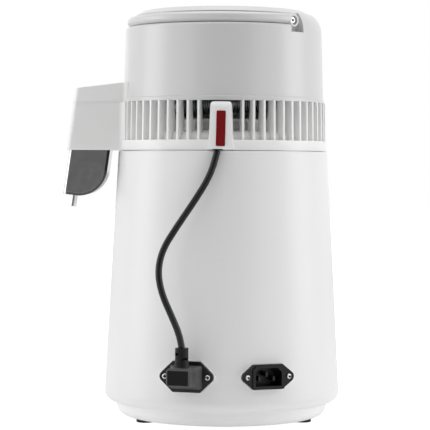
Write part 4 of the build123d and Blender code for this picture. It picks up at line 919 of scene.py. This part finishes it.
class DISTILLER_OT_socket_screws(bpy.types.Operator):
    """Sets two cross-head screws in each power socket's flange"""

    bl_idname = "distiller.socket_screws"
    bl_label = "Socket screws"

    def execute(self, context):
        size = sizes()
        tree = Tree("Screws in two flanges")
        spacing = tree.ask("Spacing")
        height = tree.ask("Height")
        flanges = tree.add("GeometryNodeJoinGeometry")
        half = compute(tree.group, "MULTIPLY", spacing, -0.5)
        step = tree.add("ShaderNodeCombineXYZ", y=spacing)
        for side in ("Outlet", "Inlet"):
            reach = tree.ask(f"{side} reach")
            angle = tree.ask(f"{side} angle", "NodeSocketVector")
            first = tree.add("ShaderNodeCombineXYZ", x=reach, y=half, z=height)
            pair = tree.add(
                "GeometryNodeMeshLine",
                count=2,
                start_location=first.outputs["Vector"],
                offset=step.outputs["Vector"],
            )
            heads = tree.add(
                "GeometryNodeInstanceOnPoints",
                points=pair.outputs["Mesh"],
                instance=tree.input.outputs["Geometry"],
                rotation=(0, pi / 2, SCREW_TURN),
            )
            turned = tree.add("GeometryNodeTransform", geometry=heads.outputs["Instances"], rotation=angle)
            tree.link(turned.outputs["Geometry"], flanges.inputs["Geometry"])
        tree.close(flanges.outputs["Geometry"])
        piece = tree.grow(
            "socket_screw_set",
            cross_head(size.screw_radius, SCREW_HEIGHT, SCREW_RECESS),
            "screw_steel",
            spacing=size.screw_spacing,
            height=SOCKET_HEIGHT,
            outlet_reach=reach_along("power_outlet", OUTLET_ANGLE, aside=FLANGE_ASIDE),
            outlet_angle=(0.0, 0.0, OUTLET_ANGLE),
            inlet_reach=reach_along("power_inlet", INLET_ANGLE, aside=FLANGE_ASIDE),
            inlet_angle=(0.0, 0.0, INLET_ANGLE),
        )
        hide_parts("socket_screws")
        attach(piece, "base")
        return {"FINISHED"}


class DISTILLER_OT_handle_pins(bpy.types.Operator):
    """Makes the two pins that the carry handle turns on"""

    bl_idname = "distiller.handle_pins"
    bl_label = "Handle pins"

    def execute(self, context):
        head = sizes().pin_head_radius
        out = Vector((cos(PIVOT_ANGLE), sin(PIVOT_ANGLE), 0))
        along = [vertex.co.dot(out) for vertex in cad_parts["handle_pins"].data.vertices]
        tip = max(along)
        root = min(value for value in along if value > 0)
        profile = [(0, root), (PIN_SHANK, root), (PIN_SHANK, tip - PIN_HEAD[0][1])]
        profile += [(head - inset, tip - depth) for inset, depth in PIN_HEAD]
        profile += [(radius, tip - depth) for radius, depth in PIN_HOLLOW]
        pin_mesh = lathe(profile, steps=28)
        mouth = PIN_HOLLOW[0][0]
        floor = tip - PIN_HOLLOW_FLOOR
        # The hollow's faces are marked for painted shade
        mark_recess_shade(pin_mesh, lambda face: face.center.xy.length < mouth and face.center.z > floor)
        tree = Tree("Pins on a pivot line")
        height = tree.ask("Height")
        angle = tree.ask("Angle", "NodeSocketVector")
        place = tree.add("ShaderNodeCombineXYZ", z=height)
        pair = tree.add("GeometryNodeJoinGeometry")
        for turn in (pi / 2, -pi / 2):
            pin = tree.add(
                "GeometryNodeTransform", geometry=tree.input.outputs["Geometry"], rotation=(0, turn, 0)
            )
            tree.link(pin.outputs["Geometry"], pair.inputs["Geometry"])
        turned = tree.add(
            "GeometryNodeTransform",
            geometry=pair.outputs["Geometry"],
            rotation=angle,
            translation=place.outputs["Vector"],
        )
        tree.close(turned.outputs["Geometry"])
        piece = tree.grow(
            "handle_pin_pair", pin_mesh, "screw_steel", height=PIVOT_HEIGHT, angle=(0.0, 0.0, PIVOT_ANGLE)
        )
        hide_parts("handle_pins")
        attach(piece, "head")
        return {"FINISHED"}


class DISTILLER_OT_stage(bpy.types.Operator):
    """Lays a pale floor and sets the studio's light"""

    bl_idname = "distiller.stage"
    bl_label = "Stage"

    def execute(self, context):
        self.lay_floor()
        self.light_world(context)
        self.hang_flag()
        for name, angle in SIDE_ANGLES.items():
            place = Vector((SIDE_DISTANCE * cos(angle), SIDE_DISTANCE * sin(angle), SIDE_HEIGHT))
            self.softbox(name, place, SIDE_SIZE, studio().side_power)
        self.softbox("softbox_top", TOP_PLACE, TOP_SIZE, studio().top_power)
        context.scene.view_settings.view_transform = "Standard"
        return {"FINISHED"}

    def softbox(self, name, place, size, power):
        """Hangs a lamp that the camera doesn't see."""
        data = bpy.data.lights.new(name, "AREA")
        data.shape = "RECTANGLE"
        data.size, data.size_y = size
        data.energy = power
        lamp = place_object(name, data)
        lamp.matrix_world = aimed(place, LAMP_AIM)
        lamp.visible_camera = False

    def matt(self, name, shade, rough, shine):
        """Plain grey material for the stage."""
        material = bpy.data.materials.new(name)
        material.use_nodes = True
        shader = material.node_tree.nodes["Principled BSDF"]
        shader.inputs["Base Color"].default_value = (shade, shade, shade, 1)
        shader.inputs["Roughness"].default_value = rough
        shader.inputs["Specular IOR Level"].default_value = shine
        return material

    def hang_flag(self):
        """Hangs a grey cloth behind the camera, which metal and gloss show as the dark side of the room."""
        bm = bmesh.new()
        bmesh.ops.create_grid(bm, x_segments=6, y_segments=6, size=0.5)
        across = Matrix.Rotation(pi / 2, 4, "Y")
        span = Matrix.Diagonal((1, FLAG_WIDTH, FLAG_HEIGHT, 1))
        bmesh.ops.transform(bm, verts=bm.verts, matrix=Matrix.Translation(FLAG_PLACE) @ span @ across)
        mesh = mesh_from(bm, "flag")
        mesh.materials.append(self.matt("flag_cloth", studio().flag_shade, rough=0.95, shine=0.0))
        flag = place_object("flag", mesh)
        flag.visible_camera = False

    def lay_floor(self):
        """Lays a floor that shows white to the camera and throws some light back up."""
        bm = bmesh.new()
        bmesh.ops.create_grid(bm, x_segments=8, y_segments=8, size=FLOOR_REACH)
        mesh = mesh_from(bm, "floor")
        material = self.matt("floor_white", FLOOR_SHADE, rough=0.9, shine=0.1)
        tree = material.node_tree
        shader = tree.nodes["Principled BSDF"]
        shader.inputs["Emission Color"].default_value = (1, 1, 1, 1)
        seen = tree.nodes.new("ShaderNodeLightPath").outputs
        lift = compute(tree, "MULTIPLY", seen["Is Camera Ray"], FLOOR_SHOWN)
        given = compute(tree, "MULTIPLY_ADD", seen["Is Diffuse Ray"], FLOOR_BOUNCE, lift)
        tree.links.new(given, shader.inputs["Emission Strength"])
        mesh.materials.append(material)
        floor = place_object("floor", mesh)

    def light_world(self, context):
        """Fills the room with light, and shows it white to the camera and in gloss and glass."""
        world = bpy.data.worlds.new("studio")
        context.scene.world = world
        world.use_nodes = True
        tree = world.node_tree
        ground = tree.nodes["Background"]
        ground.inputs["Color"].default_value = (1, 1, 1, 1)
        seen = tree.nodes.new("ShaderNodeLightPath").outputs
        shiny = compute(tree, "MAXIMUM", seen["Is Glossy Ray"], seen["Is Transmission Ray"])
        shown = compute(tree, "MAXIMUM", seen["Is Camera Ray"], shiny)
        level = map_range(tree, shown, 0.0, 1.0, studio().room_light, 1.0)
        tree.links.new(level, ground.inputs["Strength"])


class DISTILLER_PT_panel(bpy.types.Panel):
    """Lists the distiller's pieces and settings"""

    bl_idname = "DISTILLER_PT_panel"
    bl_label = "Water distiller"
    bl_space_type = "VIEW_3D"
    bl_region_type = "UI"
    bl_category = "Distiller"

    def draw(self, context):
        layout = self.layout
        for operator in OPERATORS:
            layout.operator(operator.bl_idname)
        for group in (sizes(), colours(), studio()):
            box = layout.box()
            for name in group.__annotations__:
                box.prop(group, name)


OPERATORS = (
    DISTILLER_OT_photo_view,
    DISTILLER_OT_fan_lead,
    DISTILLER_OT_model_finishes,
    DISTILLER_OT_steam_dome,
    DISTILLER_OT_condenser_fins,
    DISTILLER_OT_socket_screws,
    DISTILLER_OT_handle_pins,
    DISTILLER_OT_stage,
)
CLASSES = (DistillerSizes, DistillerColours, DistillerStudio, *OPERATORS, DISTILLER_PT_panel)


def register():
    """Registers the classes and hangs their settings on the scene."""
    for kind in CLASSES:
        bpy.utils.register_class(kind)
    bpy.types.Scene.distiller_sizes = PointerProperty(type=DistillerSizes)
    bpy.types.Scene.distiller_colours = PointerProperty(type=DistillerColours)
    bpy.types.Scene.distiller_studio = PointerProperty(type=DistillerStudio)


def unregister():
    """Takes the settings and the classes away again."""
    del bpy.types.Scene.distiller_studio
    del bpy.types.Scene.distiller_colours
    del bpy.types.Scene.distiller_sizes
    for kind in reversed(CLASSES):
        bpy.utils.unregister_class(kind)


def main():
    """Builds the scene."""
    register()
    bpy.ops.distiller.photo_view()
    bpy.ops.distiller.fan_lead()
    bpy.ops.distiller.model_finishes()
    bpy.ops.distiller.steam_dome()
    bpy.ops.distiller.condenser_fins()
    bpy.ops.distiller.socket_screws()
    bpy.ops.distiller.handle_pins()
    bpy.ops.distiller.stage()


if __name__ == "__main__":
    main()
